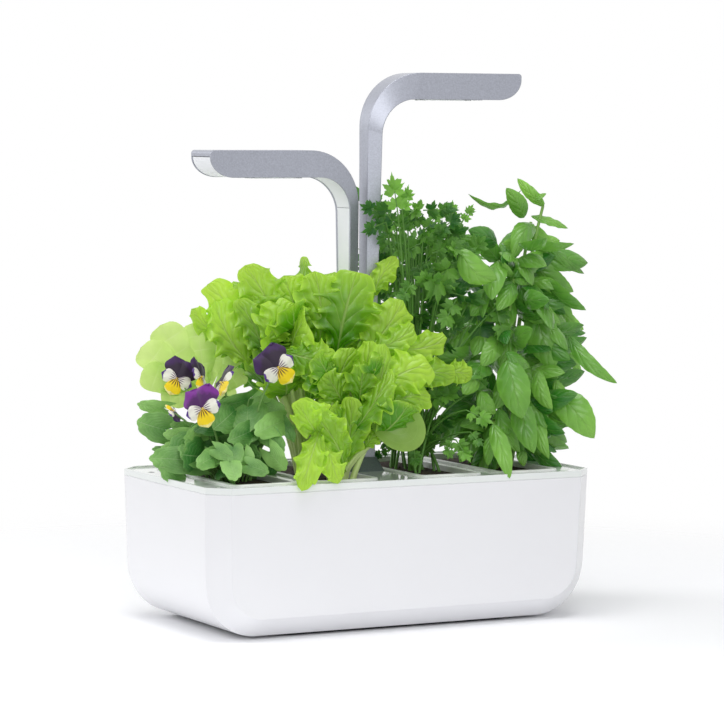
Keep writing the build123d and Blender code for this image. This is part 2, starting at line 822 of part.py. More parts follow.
    led_face = underside + cover_back + lens_flange + lens_rim_height
    with BuildPart() as led_board:
        with BuildSketch(Plane.XY.offset(led_face)):
            with Locations((lens_middle, 0)):
                RectangleRounded(
                    lens_length + 2 * lens_flange_reach, lens_width + 2 * lens_flange_reach, lens_corner
                )
        extrude(amount=board_thickness)
    place(led_board.part, "led_board")

    with BuildPart() as led_chips:
        with BuildSketch(Plane.XY.offset(led_face)):
            with Locations((lens_middle, 0)):
                with GridLocations(chip_pitch, chip_pitch, chip_columns, chip_rows):
                    Rectangle(chip_size, chip_size)
        extrude(amount=-chip_height)
    place(led_chips.part, "led_chips")

    # Glide: a low-friction block at the foot of the column, held in the channel under the mast foot
    glide_low = guide_low + guide_wall + joint_gap + top - arm_low_top
    glide_half_y = channel_half_depth - glide_clearance
    with BuildPart() as glide:
        with BuildSketch(Plane.XY.offset(glide_low)):
            with Locations(((back_face + runner_face) / 2, 0)):
                Rectangle(column_low_thickness, 2 * glide_half_y)
        extrude(amount=low - glide_low)
        with BuildSketch(Plane.XY.offset(low)):
            with Locations((back_face + shell_wall + cover_side_gap, 0)):
                Rectangle(
                    column_low_thickness - shell_wall - 2 * cover_side_gap - cover_back,
                    2 * (runner_half_outer - shell_wall - cover_side_gap),
                    align=(Align.MIN, Align.CENTER),
                )
        extrude(amount=glide_tenon)
    place(glide.part, "arm_glide")


lamp_arm("left", arm_low_top, mirrored=True)
lamp_arm("right", arm_low_top + arm_travel, mirrored=False)

# Pots: thin white troughs with a flat rim on the cover, a slot for the wick and a block of soil
tub_low_width = tub_width - 2 * pot_taper
tub_low_length = tub_length - 2 * pot_taper


def trough(low, high, inset, x):
    """A pot's tapering form between two heights, evenly inside its outer wall."""
    with BuildPart() as form:
        for z in (low, high):
            share = (z - tub_floor_z) / pot_depth
            width = tub_low_width + share * (tub_width - tub_low_width) - 2 * inset
            along = tub_low_length + share * (tub_length - tub_low_length) - 2 * inset
            with BuildSketch(Plane.XY.offset(z)):
                with Locations((x, 0)):
                    RectangleRounded(width, along, max(tub_corner - inset, pot_wall))
        loft()
    return form.part


for plant, pot_x in pot_places.items():
    inside = trough(tub_floor_z + pot_wall, pot_top, pot_wall, pot_x)
    with BuildPart() as pot:
        with BuildSketch(Plane.XY.offset(plate_top)):
            with Locations((pot_x, 0)):
                RectangleRounded(pot_width, pot_length, pot_corner)
        extrude(amount=pot_rim)
        chamfer(pot.edges().group_by(Axis.Z)[-1], rim_bevel)
        add(trough(tub_floor_z, plate_top, 0, pot_x))
        add(inside, mode=Mode.SUBTRACT)
        with BuildSketch(Plane.XY.offset(tub_floor_z)):
            with Locations((pot_x, 0)):
                Rectangle(wick_thickness + 2 * joint_gap, wick_width + 2 * joint_gap)
        extrude(amount=pot_wall, mode=Mode.SUBTRACT)
    pot.part.label = f"{plant}_pot"
    export_step(pot.part, f"parts/{plant}_pot.step")

    with BuildPart() as soil:
        add(trough(tub_floor_z + pot_wall, soil_top, pot_wall + joint_gap, pot_x))
    soil.part.label = f"{plant}_soil"
    export_step(soil.part, f"parts/{plant}_soil.step")

    wick_low = foot_height + tank_floor + wick_lift
    with BuildPart() as wick:
        with BuildSketch(Plane.XY.offset(wick_low)):
            with Locations((pot_x, 0)):
                Rectangle(wick_thickness, wick_width)
        extrude(amount=tub_floor_z + pot_wall - wick_low)
    wick.part.label = f"{plant}_wick"
    export_step(wick.part, f"parts/{plant}_wick.step")


# Plants: stems, and arched leaves that grow from stems or from the soil. Each group of leaves keeps to
# a room of its own above its pot, so that a pot lifts out past its neighbours. A leaf runs from its
# foot to its tip by way of a knee, and its plate is cut to the outline of its kind. A crown is the
# middle, the half spreads and the height of a plant, and share tables place feet and tips in it.
leaf_thickness = 1.8
knee_share = 0.55
stem_sides = 4
leaf_rim_gap = 1.0
room_gap = 1.5
lamp_gap = 2.0
crown_limit = arm_low_top - head_height - lens_proud - lamp_gap
leaf_low_z = pot_top + leaf_rim_gap
soil_half_x = tub_low_width / 2 - pot_wall
soil_half_y = tub_low_length / 2 - pot_wall


def plant_crown(plant, crown_shares):
    """A plant's crown, from shares of its soil's half sizes and of the height under the lamps."""
    shift_x, shift_y, wide, deep, high = crown_shares
    return (
        pot_places[plant] + shift_x * soil_half_x,
        shift_y * soil_half_y,
        wide * soil_half_x,
        deep * soil_half_y,
        high * (crown_limit - soil_top),
    )


def crown_place(crown, place_share):
    """A point of a crown, from its shares of the half spreads and of the height."""
    middle_x, middle_y, half_x, half_y, height = crown
    share_x, share_y, share_z = place_share
    return Vector(middle_x + share_x * half_x, middle_y + share_y * half_y, soil_top + share_z * height)


def growing_room(low_x, high_x, low_y, high_y, pot_x):
    """Where leaves may be: a block above the rims, and the column over their own soil."""
    with BuildPart() as room:
        with BuildSketch(Plane.XY.offset(leaf_low_z)):
            with Locations(((low_x + high_x) / 2, (low_y + high_y) / 2)):
                Rectangle(high_x - low_x, high_y - low_y)
        extrude(amount=crown_limit - leaf_low_z)
        with BuildSketch(Plane.XY.offset(soil_top)):
            with Locations((pot_x, 0)):
                Rectangle(2 * soil_half_x, 2 * soil_half_y)
        extrude(amount=leaf_low_z - soil_top)
    return room.part


def leaf_outline(leaf_length, width, edge_shares):
    """A leaf's outline, alike on both sides, from shares of its length and of its width."""
    one_edge = [(along * leaf_length, aside * width) for along, aside in edge_shares]
    other_edge = [(along, -aside) for along, aside in reversed(one_edge) if aside]
    with BuildSketch(mode=Mode.PRIVATE) as outline:
        with BuildLine():
            Polyline(*one_edge, *other_edge, close=True)
        make_face()
    return outline.sketch


def leaf_plate(foot, tip, outline, bow_share, roll):
    """An arched plate from foot to tip, rolled about its length from level, cut to an outline."""
    run = tip - foot
    heading = run.normalized()
    level = Vector(0, 0, 1).cross(heading).normalized()
    side = level * cos(radians(roll)) + heading.cross(level) * sin(radians(roll))
    knee = (knee_share * run.length, bow_share * run.length)
    with BuildPart() as plate:
        with BuildSketch(Plane(origin=foot, x_dir=heading, z_dir=heading.cross(side))):
            add(outline)
        extrude(amount=run.length, both=True)
        with BuildSketch(Plane(origin=foot, x_dir=heading, z_dir=-side)):
            with BuildLine():
                Polyline(
                    (0, 0),
                    knee,
                    (run.length, 0),
                    (run.length, leaf_thickness),
                    (knee[0], knee[1] + leaf_thickness),
                    (0, leaf_thickness),
                    close=True,
                )
            make_face()
        extrude(amount=run.length, both=True, mode=Mode.INTERSECT)
    return plate.part


def crown_leaf(crown, foot_share, tip_share, width, edge_shares, bow_share, roll):
    """A leaf between two places of a crown."""
    foot, tip = crown_place(crown, foot_share), crown_place(crown, tip_share)
    return leaf_plate(foot, tip, leaf_outline((tip - foot).length, width, edge_shares), bow_share, roll)


def ribbed_stem(foot, head, radius):
    """A straight stem with flat sides between two points, started a little below its foot."""
    rise = head - foot
    start = foot - rise.normalized() * soil_drop
    with BuildPart() as stem:
        with BuildSketch(Plane(origin=start, z_dir=rise)):
            RegularPolygon(radius, stem_sides)
        extrude(amount=rise.length + soil_drop)
    return stem.part


def in_room(leaf, room):
    """The main part of a leaf that lies in a room."""
    with BuildPart() as kept:
        add(leaf)
        add(room, mode=Mode.INTERSECT)
    return kept.solids().sort_by(SortBy.VOLUME)[-1]


def write_plant(name, groups, stems=(), keep_clear=()):
    """Joins a plant's stems and the leaves of each group, cuts them clear and writes the node."""
    with BuildPart() as plant:
        if stems:
            add(stems)
            split(bisect_by=Plane.XY.offset(soil_top), keep=Keep.TOP)
        for room, leaves in groups:
            for leaf in leaves:
                add(in_room(leaf, room))
        for part in keep_clear:
            add(part, mode=Mode.SUBTRACT)
    plant.part.label = name
    export_step(plant.part, f"parts/{name}.step")


# Viola: round leaves in tiers from one root, a tuft at the rear, and flowers of five petals
viola_x = pot_places["viola"]
viola_crown_shares = (-0.57, -0.47, 2.4, 0.64, 0.247)
viola_leaf_width = 25.0
viola_leaf_shares = ((0.0, 0.06), (0.44, 0.06), (0.52, 0.4), (0.74, 0.5), (0.96, 0.26))
viola_bow_share = 0.1
viola_root_share = (0.2, 0.2, 0.0)
viola_tier_counts = (7, 5, 3)
viola_tier_shares = ((1.0, 0.24), (0.9, 0.62), (0.5, 1.0))
tuft_root_share = (0.1, 1.2, 0.0)
tuft_tip_shares = ((-0.9, 1.62, 0.78), (-0.72, 1.7, 1.0), (-0.5, 1.5, 0.66), (-0.96, 1.3, 0.44))
flower_stem_radius = 1.2
petal_radius = 8.0
petal_spread = 6.0
petal_thickness = 2.0
petal_count = 5
petal_sides = 8
petal_gap = 0.6
flower_facing = Vector(-1, -1.7, 0.25)
pale_leaf_share = 0.815
flower_shares = (
    # Where a stem starts, and where its flower stands
    ((0.0, 0.74, 0.0), (-0.46, 1.1, 1.38)),
    ((0.1, 0.1, 0.0), (-0.48, -0.12, 1.02)),
    ((0.4, -0.1, 0.0), (0.62, -0.5, 1.56)),
    ((0.14, 0.6, 0.0), (-0.2, 0.74, 1.46)),
    ((0.24, 0.4, 0.0), (0.02, 0.24, 1.36)),
)
viola_crown = plant_crown("viola", viola_crown_shares)
viola_low_x = viola_crown[0] - viola_crown[2]
viola_high_x = viola_x + (pot_width + pot_pair_gap) / 2 - room_gap
viola_rear_y = viola_crown[1] + viola_crown[3]
pale_leaf_y = pale_leaf_share * soil_half_y
tall_rear_y = pale_leaf_y - 2 * room_gap
flower_stems = [(crown_place(viola_crown, low), crown_place(viola_crown, high)) for low, high in flower_shares]

tier_leaves = [
    crown_leaf(
        viola_crown,
        viola_root_share,
        (reach * cos(2 * pi * (step + rise) / count), reach * sin(2 * pi * (step + rise) / count), rise),
        viola_leaf_width,
        viola_leaf_shares,
        viola_bow_share,
        0,
    )
    for count, (reach, rise) in zip(viola_tier_counts, viola_tier_shares)
    for step in range(count)
]
tuft_leaves = [
    crown_leaf(viola_crown, tuft_root_share, tip, viola_leaf_width, viola_leaf_shares, viola_bow_share, 0)
    for tip in tuft_tip_shares
]
with BuildPart() as flower_space:
    for foot, head in flower_stems:
        add(ribbed_stem(foot, head, flower_stem_radius + petal_gap))
        with BuildSketch(Plane(origin=head, z_dir=flower_facing)):
            RegularPolygon(petal_spread + petal_radius + petal_gap, petal_sides)
        extrude(amount=petal_thickness + petal_gap, both=True)
write_plant(
    "viola_leaves",
    [
        (growing_room(viola_low_x, viola_high_x, -depth / 2, viola_rear_y, viola_x), tier_leaves),
        (growing_room(viola_low_x, viola_x, viola_rear_y + room_gap, tall_rear_y, viola_x), tuft_leaves),
    ],
    keep_clear=[flower_space.part],
)

with BuildPart() as viola_flowers:
    for foot, head in flower_stems:
        add(ribbed_stem(foot, head, flower_stem_radius))
    split(bisect_by=Plane.XY.offset(soil_top), keep=Keep.TOP)
    for foot, head in flower_stems:
        with BuildSketch(Plane(origin=head, z_dir=flower_facing)):
            with PolarLocations(petal_spread, petal_count):
                RegularPolygon(petal_radius, petal_sides)
        extrude(amount=petal_thickness)
viola_flowers.part.label = "viola_flowers"
export_step(viola_flowers.part, "parts/viola_flowers.step")

# Pale leaf: a broad lobed blade on a flat stalk, standing at the rear of the viola's pot
pale_leaf_high_share = 0.52
pale_leaf_lean = -24.0
pale_stalk_width = 7.0
pale_lobe_radius = 17.0
pale_lobe_shares = ((-0.1, 0.62), (-0.86, 0.6), (-0.7, 0.82), (-0.1, 0.86), (0.5, 0.7))
pale_half_width = 26.0
pale_leaf_height = pale_leaf_high_share * (crown_limit - soil_top)
with BuildPart() as viola_back_leaf:
    with BuildSketch(Plane(origin=(viola_x, pale_leaf_y, soil_top), x_dir=(1, 0, 0), z_dir=(0, -1, 0))):
        with BuildLine():
            Polyline(
                (-pale_stalk_width / 2, 0),
                (pale_stalk_width / 2, 0),
                (pale_leaf_lean + pale_stalk_width, pale_leaf_height / 2),
                (pale_leaf_lean - pale_stalk_width, pale_leaf_height / 2),
                close=True,
            )
        make_face()
        for across, rise in pale_lobe_shares:
            with Locations((pale_leaf_lean + across * pale_half_width, rise * pale_leaf_height)):
                Circle(pale_lobe_radius)
    extrude(amount=leaf_thickness / 2, both=True)
viola_back_leaf.part.label = "viola_back_leaf"
export_step(viola_back_leaf.part, "parts/viola_back_leaf.step")

# Lettuce: an upright head with leaves that lean to the left behind the viola, then leaves before the
# head, and leaves that hang over the front rim to both sides
lettuce_x = pot_places["lettuce"]
lettuce_leaf_width = 56.0
lettuce_leaf_shares = ((0.0, 0.1), (0.42, 0.12), (0.6, 0.36), (0.78, 0.5), (0.94, 0.34), (1.0, 0.12))
lettuce_bow_share = 0.08
lettuce_crown_shares = (0.0, 0.0, 1.39, 0.626, 0.742)
lettuce_crown = plant_crown("lettuce", lettuce_crown_shares)
head_root_share = (0.0, -0.1, 0.0)
head_leaf_shares = (
    # Tip of the leaf, width and roll
    ((-0.56, -0.3, 0.9), 0.9, 80),
    ((-0.1, -0.6, 0.96), 1.0, 10),
    ((0.56, -0.66, 0.92), 0.9, -20),
    ((-0.2, 0.1, 1.0), 1.0, 0),
    ((0.6, 0.14, 0.88), 0.9, 70),
    ((-0.7, 0.16, 0.84), 0.8, 40),
    ((-0.1, -0.8, 0.7), 0.9, 0),
)
lean_root_share = (-0.56, 0.8, 0.0)
lean_leaf_shares = (
    ((-2.0, 0.9, 0.93), 0.45, 88),
    ((-1.6, 0.7, 0.97), 0.7, 90),
    ((-1.1, 0.94, 0.98), 0.8, 70),
    ((0.2, 0.9, 0.92), 1.0, 20),
    ((0.6, 0.8, 0.76), 0.8, 60),
)
middle_root_share = (0.0, -1.28, 0.0)
middle_leaf_shares = (
    ((-0.6, -1.3, 0.6), 0.8, 80),
    ((0.4, -1.2, 0.7), 1.0, 90),
    ((1.4, -1.24, 0.66), 0.8, 84),
    ((1.6, -1.3, 0.44), 0.7, 90),
    ((0.3, -1.36, 0.46), 0.9, 80),
)
right_root_share = (0.6, -1.56, 0.0)
right_leaf_shares = (
    ((3.1, -2.14, 0.54), 0.5, 102),
    ((2.8, -2.1, 0.74), 0.5, 102),
    ((1.8, -2.04, 0.4), 0.7, 102),
    ((1.7, -2.1, 0.16), 0.6, 102),
    ((0.4, -2.0, 0.36), 0.8, 90),
)
left_root_share = (-0.62, -1.56, 0.0)
left_leaf_shares = (((-1.9, -2.14, 0.38), 0.5, 62), ((-0.66, -2.04, 0.3), 0.45, 80))
lettuce_low_x = lettuce_x - (pot_width + pot_pair_gap) / 2 + room_gap
lettuce_high_x = lettuce_x + pot_width / 2 + room_gap
parsley_low_x = pot_places["parsley"] - pot_width / 2
head_front_y = -lettuce_crown[3]
hanging_rear_y = -soil_half_y + 2 * leaf_thickness


def lettuce_group(ends_x, ends_y, root_share, leaf_shares, bow_share):
    """A room between two ends each way, with the lettuce leaves of a share table from one root."""
    leaves = []
    for tip, share, roll in leaf_shares:
        width = share * lettuce_leaf_width
        leaves.append(crown_leaf(lettuce_crown, root_share, tip, width, lettuce_leaf_shares, bow_share, roll))
    return growing_room(*ends_x, *ends_y, lettuce_x), leaves


write_plant(
    "lettuce_head",
    [
        lettuce_group(
            (lettuce_low_x, lettuce_high_x),
            (head_front_y, viola_rear_y),
            head_root_share,
            head_leaf_shares,
            lettuce_bow_share,
        ),
        lettuce_group(
            (viola_crown[0], lettuce_high_x),
            (viola_rear_y + room_gap, tall_rear_y),
            lean_root_share,
            lean_leaf_shares,
            lettuce_bow_share,
        ),
    ],
)
write_plant(
    "lettuce_front_leaves",
    [
        lettuce_group(
            (lettuce_low_x, parsley_low_x - room_gap),
            (hanging_rear_y + room_gap, head_front_y - room_gap),
            middle_root_share,
            middle_leaf_shares,
            lettuce_bow_share,
        ),
        lettuce_group(
            (lettuce_x - soil_half_x / 2, parsley_low_x + pot_width),
            (-depth / 2, hanging_rear_y),
            right_root_share,
            right_leaf_shares,
            lettuce_bow_share,
        ),
        lettuce_group(
            (viola_x, lettuce_x - soil_half_x / 2 - room_gap),
            (-depth / 2, hanging_rear_y),
            left_root_share,
            left_leaf_shares,
            -lettuce_bow_share,
        ),
    ],
)

# Parsley: thin stems that spread from one root, with a spray of three lobes at the head of each and
# a second spray part of the way up
parsley_x = pot_places["parsley"]
parsley_crown_shares = (0.0, 0.06, 1.25, 0.69, 0.92)
parsley_crown = plant_crown("parsley", parsley_crown_shares)
parsley_root_share = (0.0, -0.1, 0.0)
parsley_stem_radius = 1.4
parsley_head_shares = (
    (-0.7, -0.4, 0.66),
    (0.1, -0.9, 0.62),
    (1.0, -0.7, 0.7),
    (-0.3, -0.1, 0.94),
    (0.7, -0.2, 0.98),
    (1.2, 0.5, 0.86),
    (-0.8, 0.6, 0.8),
    (0.1, 1.0, 0.9),
)
spray_length = 36.0
spray_width = 34.0
spray_shares = ((0.0, 0.04), (0.24, 0.04), (0.3, 0.42), (0.56, 0.5), (0.6, 0.2), (0.84, 0.24), (1.0, 0.0))
spray_rise = 8.0
spray_bow_share = 0.06
spray_turn = 137.5
low_spray_share = 0.66
stem_inset = 1.0
parsley_foot = crown_place(parsley_crown, parsley_root_share)
parsley_sprays = []
for number, head_share in enumerate(parsley_head_shares):
    rise = crown_place(parsley_crown, head_share) - parsley_foot
    for half_turn, share in ((0, 1), (pi, low_spray_share)):
        start = parsley_foot + rise * share - rise.normalized() * stem_inset
        turn = radians(spray_turn * number) + half_turn
        tip = start + Vector(spray_length * cos(turn), spray_length * sin(turn), spray_rise)
        outline = leaf_outline((tip - start).length, spray_width, spray_shares)
        parsley_sprays.append(leaf_plate(start, tip, outline, spray_bow_share, 0))
write_plant(
    "parsley_plant",
    [
        (
            growing_room(
                parsley_low_x + room_gap,
                parsley_low_x + pot_width + (pot_pair_gap - room_gap) / 2,
                -parsley_crown[3],
                tall_rear_y,
                parsley_x,
            ),
            parsley_sprays,
        )
    ],
    stems=[
        ribbed_stem(parsley_foot, crown_place(parsley_crown, head), parsley_stem_radius)
        for head in parsley_head_shares
    ],
)

# Basil: stems that spread from one root, with pairs of egg-shaped leaves, each pair turned a quarter
# from the pair below
basil_x = pot_places["basil"]
basil_crown_shares = (0.0, -0.25, 2.87, 0.72, 0.98)
basil_crown = plant_crown("basil", basil_crown_shares)
basil_root_share = (0.0, 0.1, 0.0)
basil_stem_radius = 1.8
basil_stem_shares = (
    # Head of the stem, and the shares of its length where pairs grow
    ((0.62, 0.4, 0.99), (0.4, 0.6, 0.8, 1)),
    ((0.1, -0.5, 0.66), (0.5, 0.76, 1)),
    ((-0.3, -0.3, 0.56), (0.6, 1)),
    ((0.5, -0.6, 0.54), (0.56, 1)),
    ((1.1, 0.1, 0.6), (0.6, 1)),
    ((0.0, 0.8, 0.84), (0.5, 0.76, 1)),
)
basil_leaf_length = 42.0
basil_leaf_width = 30.0
basil_leaf_shares = ((0.0, 0.04), (0.16, 0.36), (0.42, 0.5), (0.76, 0.34), (1.0, 0.0))
basil_droop = 12.0
basil_bow_share = 0.12
basil_high_share = 1.5
basil_foot = crown_place(basil_crown, basil_root_share)
basil_pairs = []
for number, (head_share, pair_shares) in enumerate(basil_stem_shares):
    rise = crown_place(basil_crown, head_share) - basil_foot
    for level, share in enumerate(pair_shares):
        start = basil_foot + rise * share - rise.normalized() * stem_inset
        for half_turn in (0, pi):
            turn = pi / 2 * (level + number / 3) + half_turn
            tip = start + Vector(basil_leaf_length * cos(turn), basil_leaf_length * sin(turn), -basil_droop)
            outline = leaf_outline((tip - start).length, basil_leaf_width, basil_leaf_shares)
            basil_pairs.append(leaf_plate(start, tip, outline, basil_bow_share, 0))
write_plant(
    "basil_plant",
    [
        (
            growing_room(
                basil_x - (pot_width + pot_pair_gap - room_gap) / 2,
                basil_x + basil_high_share * basil_crown[2],
                -depth / 2,
                tall_rear_y,
                basil_x,
            ),
            basil_pairs,
        )
    ],
    stems=[
        ribbed_stem(basil_foot, crown_place(basil_crown, head), basil_stem_radius)
        for head, _ in basil_stem_shares
    ],
)
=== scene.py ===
from math import cos, pi, radians, sin

import bpy
import numpy as np
from mathutils import Matrix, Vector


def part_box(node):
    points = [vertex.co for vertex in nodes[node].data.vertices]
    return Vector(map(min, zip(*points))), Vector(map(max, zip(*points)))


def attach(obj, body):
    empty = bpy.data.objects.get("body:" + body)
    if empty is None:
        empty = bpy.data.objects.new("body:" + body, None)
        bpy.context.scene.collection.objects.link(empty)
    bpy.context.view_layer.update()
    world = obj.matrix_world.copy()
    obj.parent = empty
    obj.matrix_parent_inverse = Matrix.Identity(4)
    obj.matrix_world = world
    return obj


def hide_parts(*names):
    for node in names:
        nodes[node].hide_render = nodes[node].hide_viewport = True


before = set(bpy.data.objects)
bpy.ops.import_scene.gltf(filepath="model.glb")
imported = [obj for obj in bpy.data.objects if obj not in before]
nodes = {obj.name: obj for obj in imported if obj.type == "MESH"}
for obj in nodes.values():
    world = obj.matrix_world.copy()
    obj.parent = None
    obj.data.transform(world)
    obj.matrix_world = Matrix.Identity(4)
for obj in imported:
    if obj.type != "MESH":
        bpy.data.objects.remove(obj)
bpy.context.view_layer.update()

# The photographer's viewpoint: a long lens a little above the tray, in front of the planter's left
# end. Leaves that the photograph shows are placed on its lines of sight, at a depth of their own.
MM = 0.001
PHOTO_SIDE = 724.0
SENSOR = 36.0
LENS = 163.14
FOCAL = LENS / SENSOR * PHOTO_SIDE
CLIP = (0.1, 50)
AZIMUTH = radians(-28.256)
ELEVATION = radians(4.255)
ROLL = radians(0.386)
DISTANCE = 2538.956 * MM
AIM = np.array([2.882, -1.549, 198.371]) * MM
UP = np.array([0, 0, 1.0])

back = np.array([sin(AZIMUTH) * cos(ELEVATION), -cos(AZIMUTH) * cos(ELEVATION), sin(ELEVATION)])
level_right = np.array([cos(AZIMUTH), sin(AZIMUTH), 0.0])
level_up = np.cross(back, level_right)
photo_right = cos(ROLL) * level_right + sin(ROLL) * level_up
photo_up = cos(ROLL) * level_up - sin(ROLL) * level_right
eye = AIM + back * DISTANCE


def seen_at(u, v, y):
    """The point that the photograph shows at pixel (u, v): where that line of sight crosses the
    upright plane y, in millimetres from the middle of the tank. In metres."""
    ray = -back * FOCAL + photo_right * (u - PHOTO_SIDE / 2) - photo_up * (v - PHOTO_SIDE / 2)
    return eye + ray * (y * MM - eye[1]) / ray[1]


def stand(thing, right, up, away, place):
    """Puts a camera or a lamp at a place, with its three axes as the columns of its matrix."""
    bpy.context.scene.collection.objects.link(thing)
    thing.matrix_world = Matrix([*np.array([right, up, away, place]).T.tolist(), [0, 0, 0, 1]])


camera_data = bpy.data.cameras.new("photo_camera")
camera_data.lens = LENS
camera_data.sensor_width = SENSOR
camera_data.clip_start, camera_data.clip_end = CLIP
camera = bpy.data.objects.new("photo_camera", camera_data)
stand(camera, photo_right, photo_up, back, eye)
bpy.context.scene.camera = camera


# Tank: one thick moulding of glossy white plastic, U-shaped from the front, on a black rubber ring
# that is pushed into its underside. Both are the CAD's own shapes, with their sharp edges softened.
BEVEL_SAMPLES = 6
COAT_ROUGHNESS = 0.06
PEEL_STRENGTH = 0.12
PEEL_DEPTH = 0.004 * MM
GLOSS_WANDER = 0.06


def srgb(red, green, blue):
    """A colour as the eye names it, 0 to 255, turned into Blender's linear values."""
    share = np.array([red, green, blue]) / 255
    linear = np.where(share <= 0.04045, share / 12.92, ((share + 0.055) / 1.055) ** 2.4)
    return (*linear.tolist(), 1.0)


def feed(node, inputs):
    """Fills a shader node's inputs, by name or number: another node's first output or a socket is
    joined, and anything else becomes the value. Gives the node back."""
    for label, source in inputs.items():
        if isinstance(source, bpy.types.Node):
            source = next(output for output in source.outputs if output.enabled)
        if isinstance(source, bpy.types.NodeSocket):
            node.id_data.links.new(source, node.inputs[label])
        else:
            node.inputs[label].default_value = source
    return node


def shader(tree, kind, inputs={}, **settings):
    """A new shader node of a kind, with its own settings made before its inputs are filled."""
    made = tree.nodes.new("ShaderNode" + kind)
    for name, value in settings.items():
        setattr(made, name, value)
    return feed(made, inputs)


def maths(tree, operation, *sources, clamp=False):
    """A Math node of an operation on nodes, sockets or numbers."""
    return shader(tree, "Math", dict(enumerate(sources)), operation=operation, use_clamp=clamp)


def blended(tree, factor, first, second, how="MIX"):
    """A Mix node that goes from one colour to another by a factor, or multiplies them."""
    inputs = {"Factor": factor, "A": first, "B": second}
    return shader(tree, "Mix", inputs, data_type="RGBA", blend_type=how)


def noise(tree, **inputs):
    """A Noise texture on Object coordinates."""
    inputs["Vector"] = shader(tree, "TexCoord").outputs["Object"]
    return shader(tree, "TexNoise", inputs)


def softened(tree, radius):
    """A Bevel node, which rounds a piece's edges in shading."""
    return shader(tree, "Bevel", {"Radius": radius * MM}, samples=BEVEL_SAMPLES)


def blank(name, colour, roughness, more={}, soft_edge=0.0):
    """A Principled material with more of its inputs by name, and softened edges where asked. Gives
    the material, its tree and its Principled node."""
    made = bpy.data.materials.new(name)
    made.use_nodes = True
    tree = made.node_tree
    surface = tree.nodes["Principled BSDF"]
    look = {"Base Color": colour, "Roughness": roughness, "Coat Roughness": COAT_ROUGHNESS}
    feed(surface, {**look, **more})
    if soft_edge:
        rounding = softened(tree, soft_edge)
        feed(surface, {"Normal": rounding, "Coat Normal": rounding})
    return made, tree, surface


def group_of(name, *sockets):
    """An empty node group with its sockets, each a way, a kind and the names of that kind."""
    tree = bpy.data.node_groups.new(name, "ShaderNodeTree")
    for way, kind, *labels in sockets:
        for label in labels:
            tree.interface.new_socket(label, in_out=way, socket_type="NodeSocket" + kind)
    return tree, tree.nodes.new("NodeGroupInput").outputs, tree.nodes.new("NodeGroupOutput")


def moulding_group():
    """Moulded plastic: a slow wander of tone and gloss, and the faint orange peel of a moulding."""
    tree, given, out = group_of(
        "moulding",
        ("INPUT", "Color", "Colour"),
        ("INPUT", "Float", "Roughness", "Wander"),
        ("OUTPUT", "Color", "Colour"),
        ("OUTPUT", "Float", "Roughness", "Height"),
    )
    slow = noise(tree, Scale=14, Detail=3)
    shade = shader(tree, "MapRange", {"Value": slow, "To Min": 1.0, "To Max": 0.94})
    tone = blended(tree, 0.5, given["Colour"], shade, "MULTIPLY")
    gloss = maths(tree, "MULTIPLY_ADD", slow, given["Wander"], given["Roughness"])
    fine = noise(tree, Scale=700, Detail=1)
    feed(out, {"Colour": tone, "Roughness": gloss, "Height": fine})
    return tree


moulding = moulding_group()


def moulded(name, colour, roughness, soft_edge=0.5, more={}):
    """A plastic or painted finish: the moulding group feeds its colour, its gloss and a bump."""
    made, tree, surface = blank(name, colour, roughness, more)
    given = {"Colour": colour, "Roughness": roughness, "Wander": GLOSS_WANDER}
    skin = shader(tree, "Group", given, node_tree=moulding).outputs
    rounding = softened(tree, soft_edge)
    peel = {"Strength": PEEL_STRENGTH, "Distance": PEEL_DEPTH, "Height": skin["Height"]}
    bump = shader(tree, "Bump", {**peel, "Normal": rounding})
    look = {"Base Color": skin["Colour"], "Roughness": skin["Roughness"]}
    feed(surface, {**look, "Normal": bump, "Coat Normal": rounding})
    return made


def finish(material, *names):
    """Gives CAD nodes their material."""
    for name in names:
        nodes[name].data.materials.clear()
        nodes[name].data.materials.append(material)


finish(moulded("tank_white", srgb(236, 236, 239), 0.2, 1.2, {"Coat Weight": 0.35}), "tank_shell")
finish(moulded("foot_rubber", srgb(28, 28, 29), 0.75, 0.6), "foot_ring")

# Tray: a glossy white cover with a sunken top, which carries the electronics housing, the inlet,
# the light button and the level gauge. These are the CAD's own shapes in their own plastics and
# metals.
tray_white = moulded("tray_white", srgb(232, 236, 234), 0.1, 0.6, {"Coat Weight": 0.6})
inner_white = moulded("inner_white", srgb(224, 224, 222), 0.4)
board_mask = moulded("board_mask", srgb(236, 238, 234), 0.35)
gauge_black = moulded("gauge_black", srgb(30, 31, 33), 0.5)
screw_steel = blank("screw_steel", srgb(178, 178, 182), 0.3, {"Metallic": 1.0}, 0.2)[0]
inlet_steel = blank("inlet_steel", srgb(196, 198, 202), 0.22, {"Metallic": 1.0}, 0.3)[0]
pipe_look = {"Coat Weight": 0.5, "Transmission Weight": 0.6}
light_pipe = blank("light_pipe", srgb(225, 236, 228), 0.15, pipe_look)[0]
finish(tray_white, "tray_cover", "power_button")
finish(inner_white, "mast_guide", "control_box", "control_box_lid", "gauge_cage")
finish(board_mask, "control_board")
finish(gauge_black, "level_float")
finish(inlet_steel, "power_inlet")
finish(light_pipe, "status_light")
finish(screw_steel, "foot_screws", "box_screws")


# Mast foot and lamp arms: painted aluminium. The shells have a fine silver flake, the foot is slate
# grey, and the skins that close the arms' inside are a pale satin plastic that lets the light glow.
FLAKE_GRAIN = 900
PAINT_COAT = 0.15


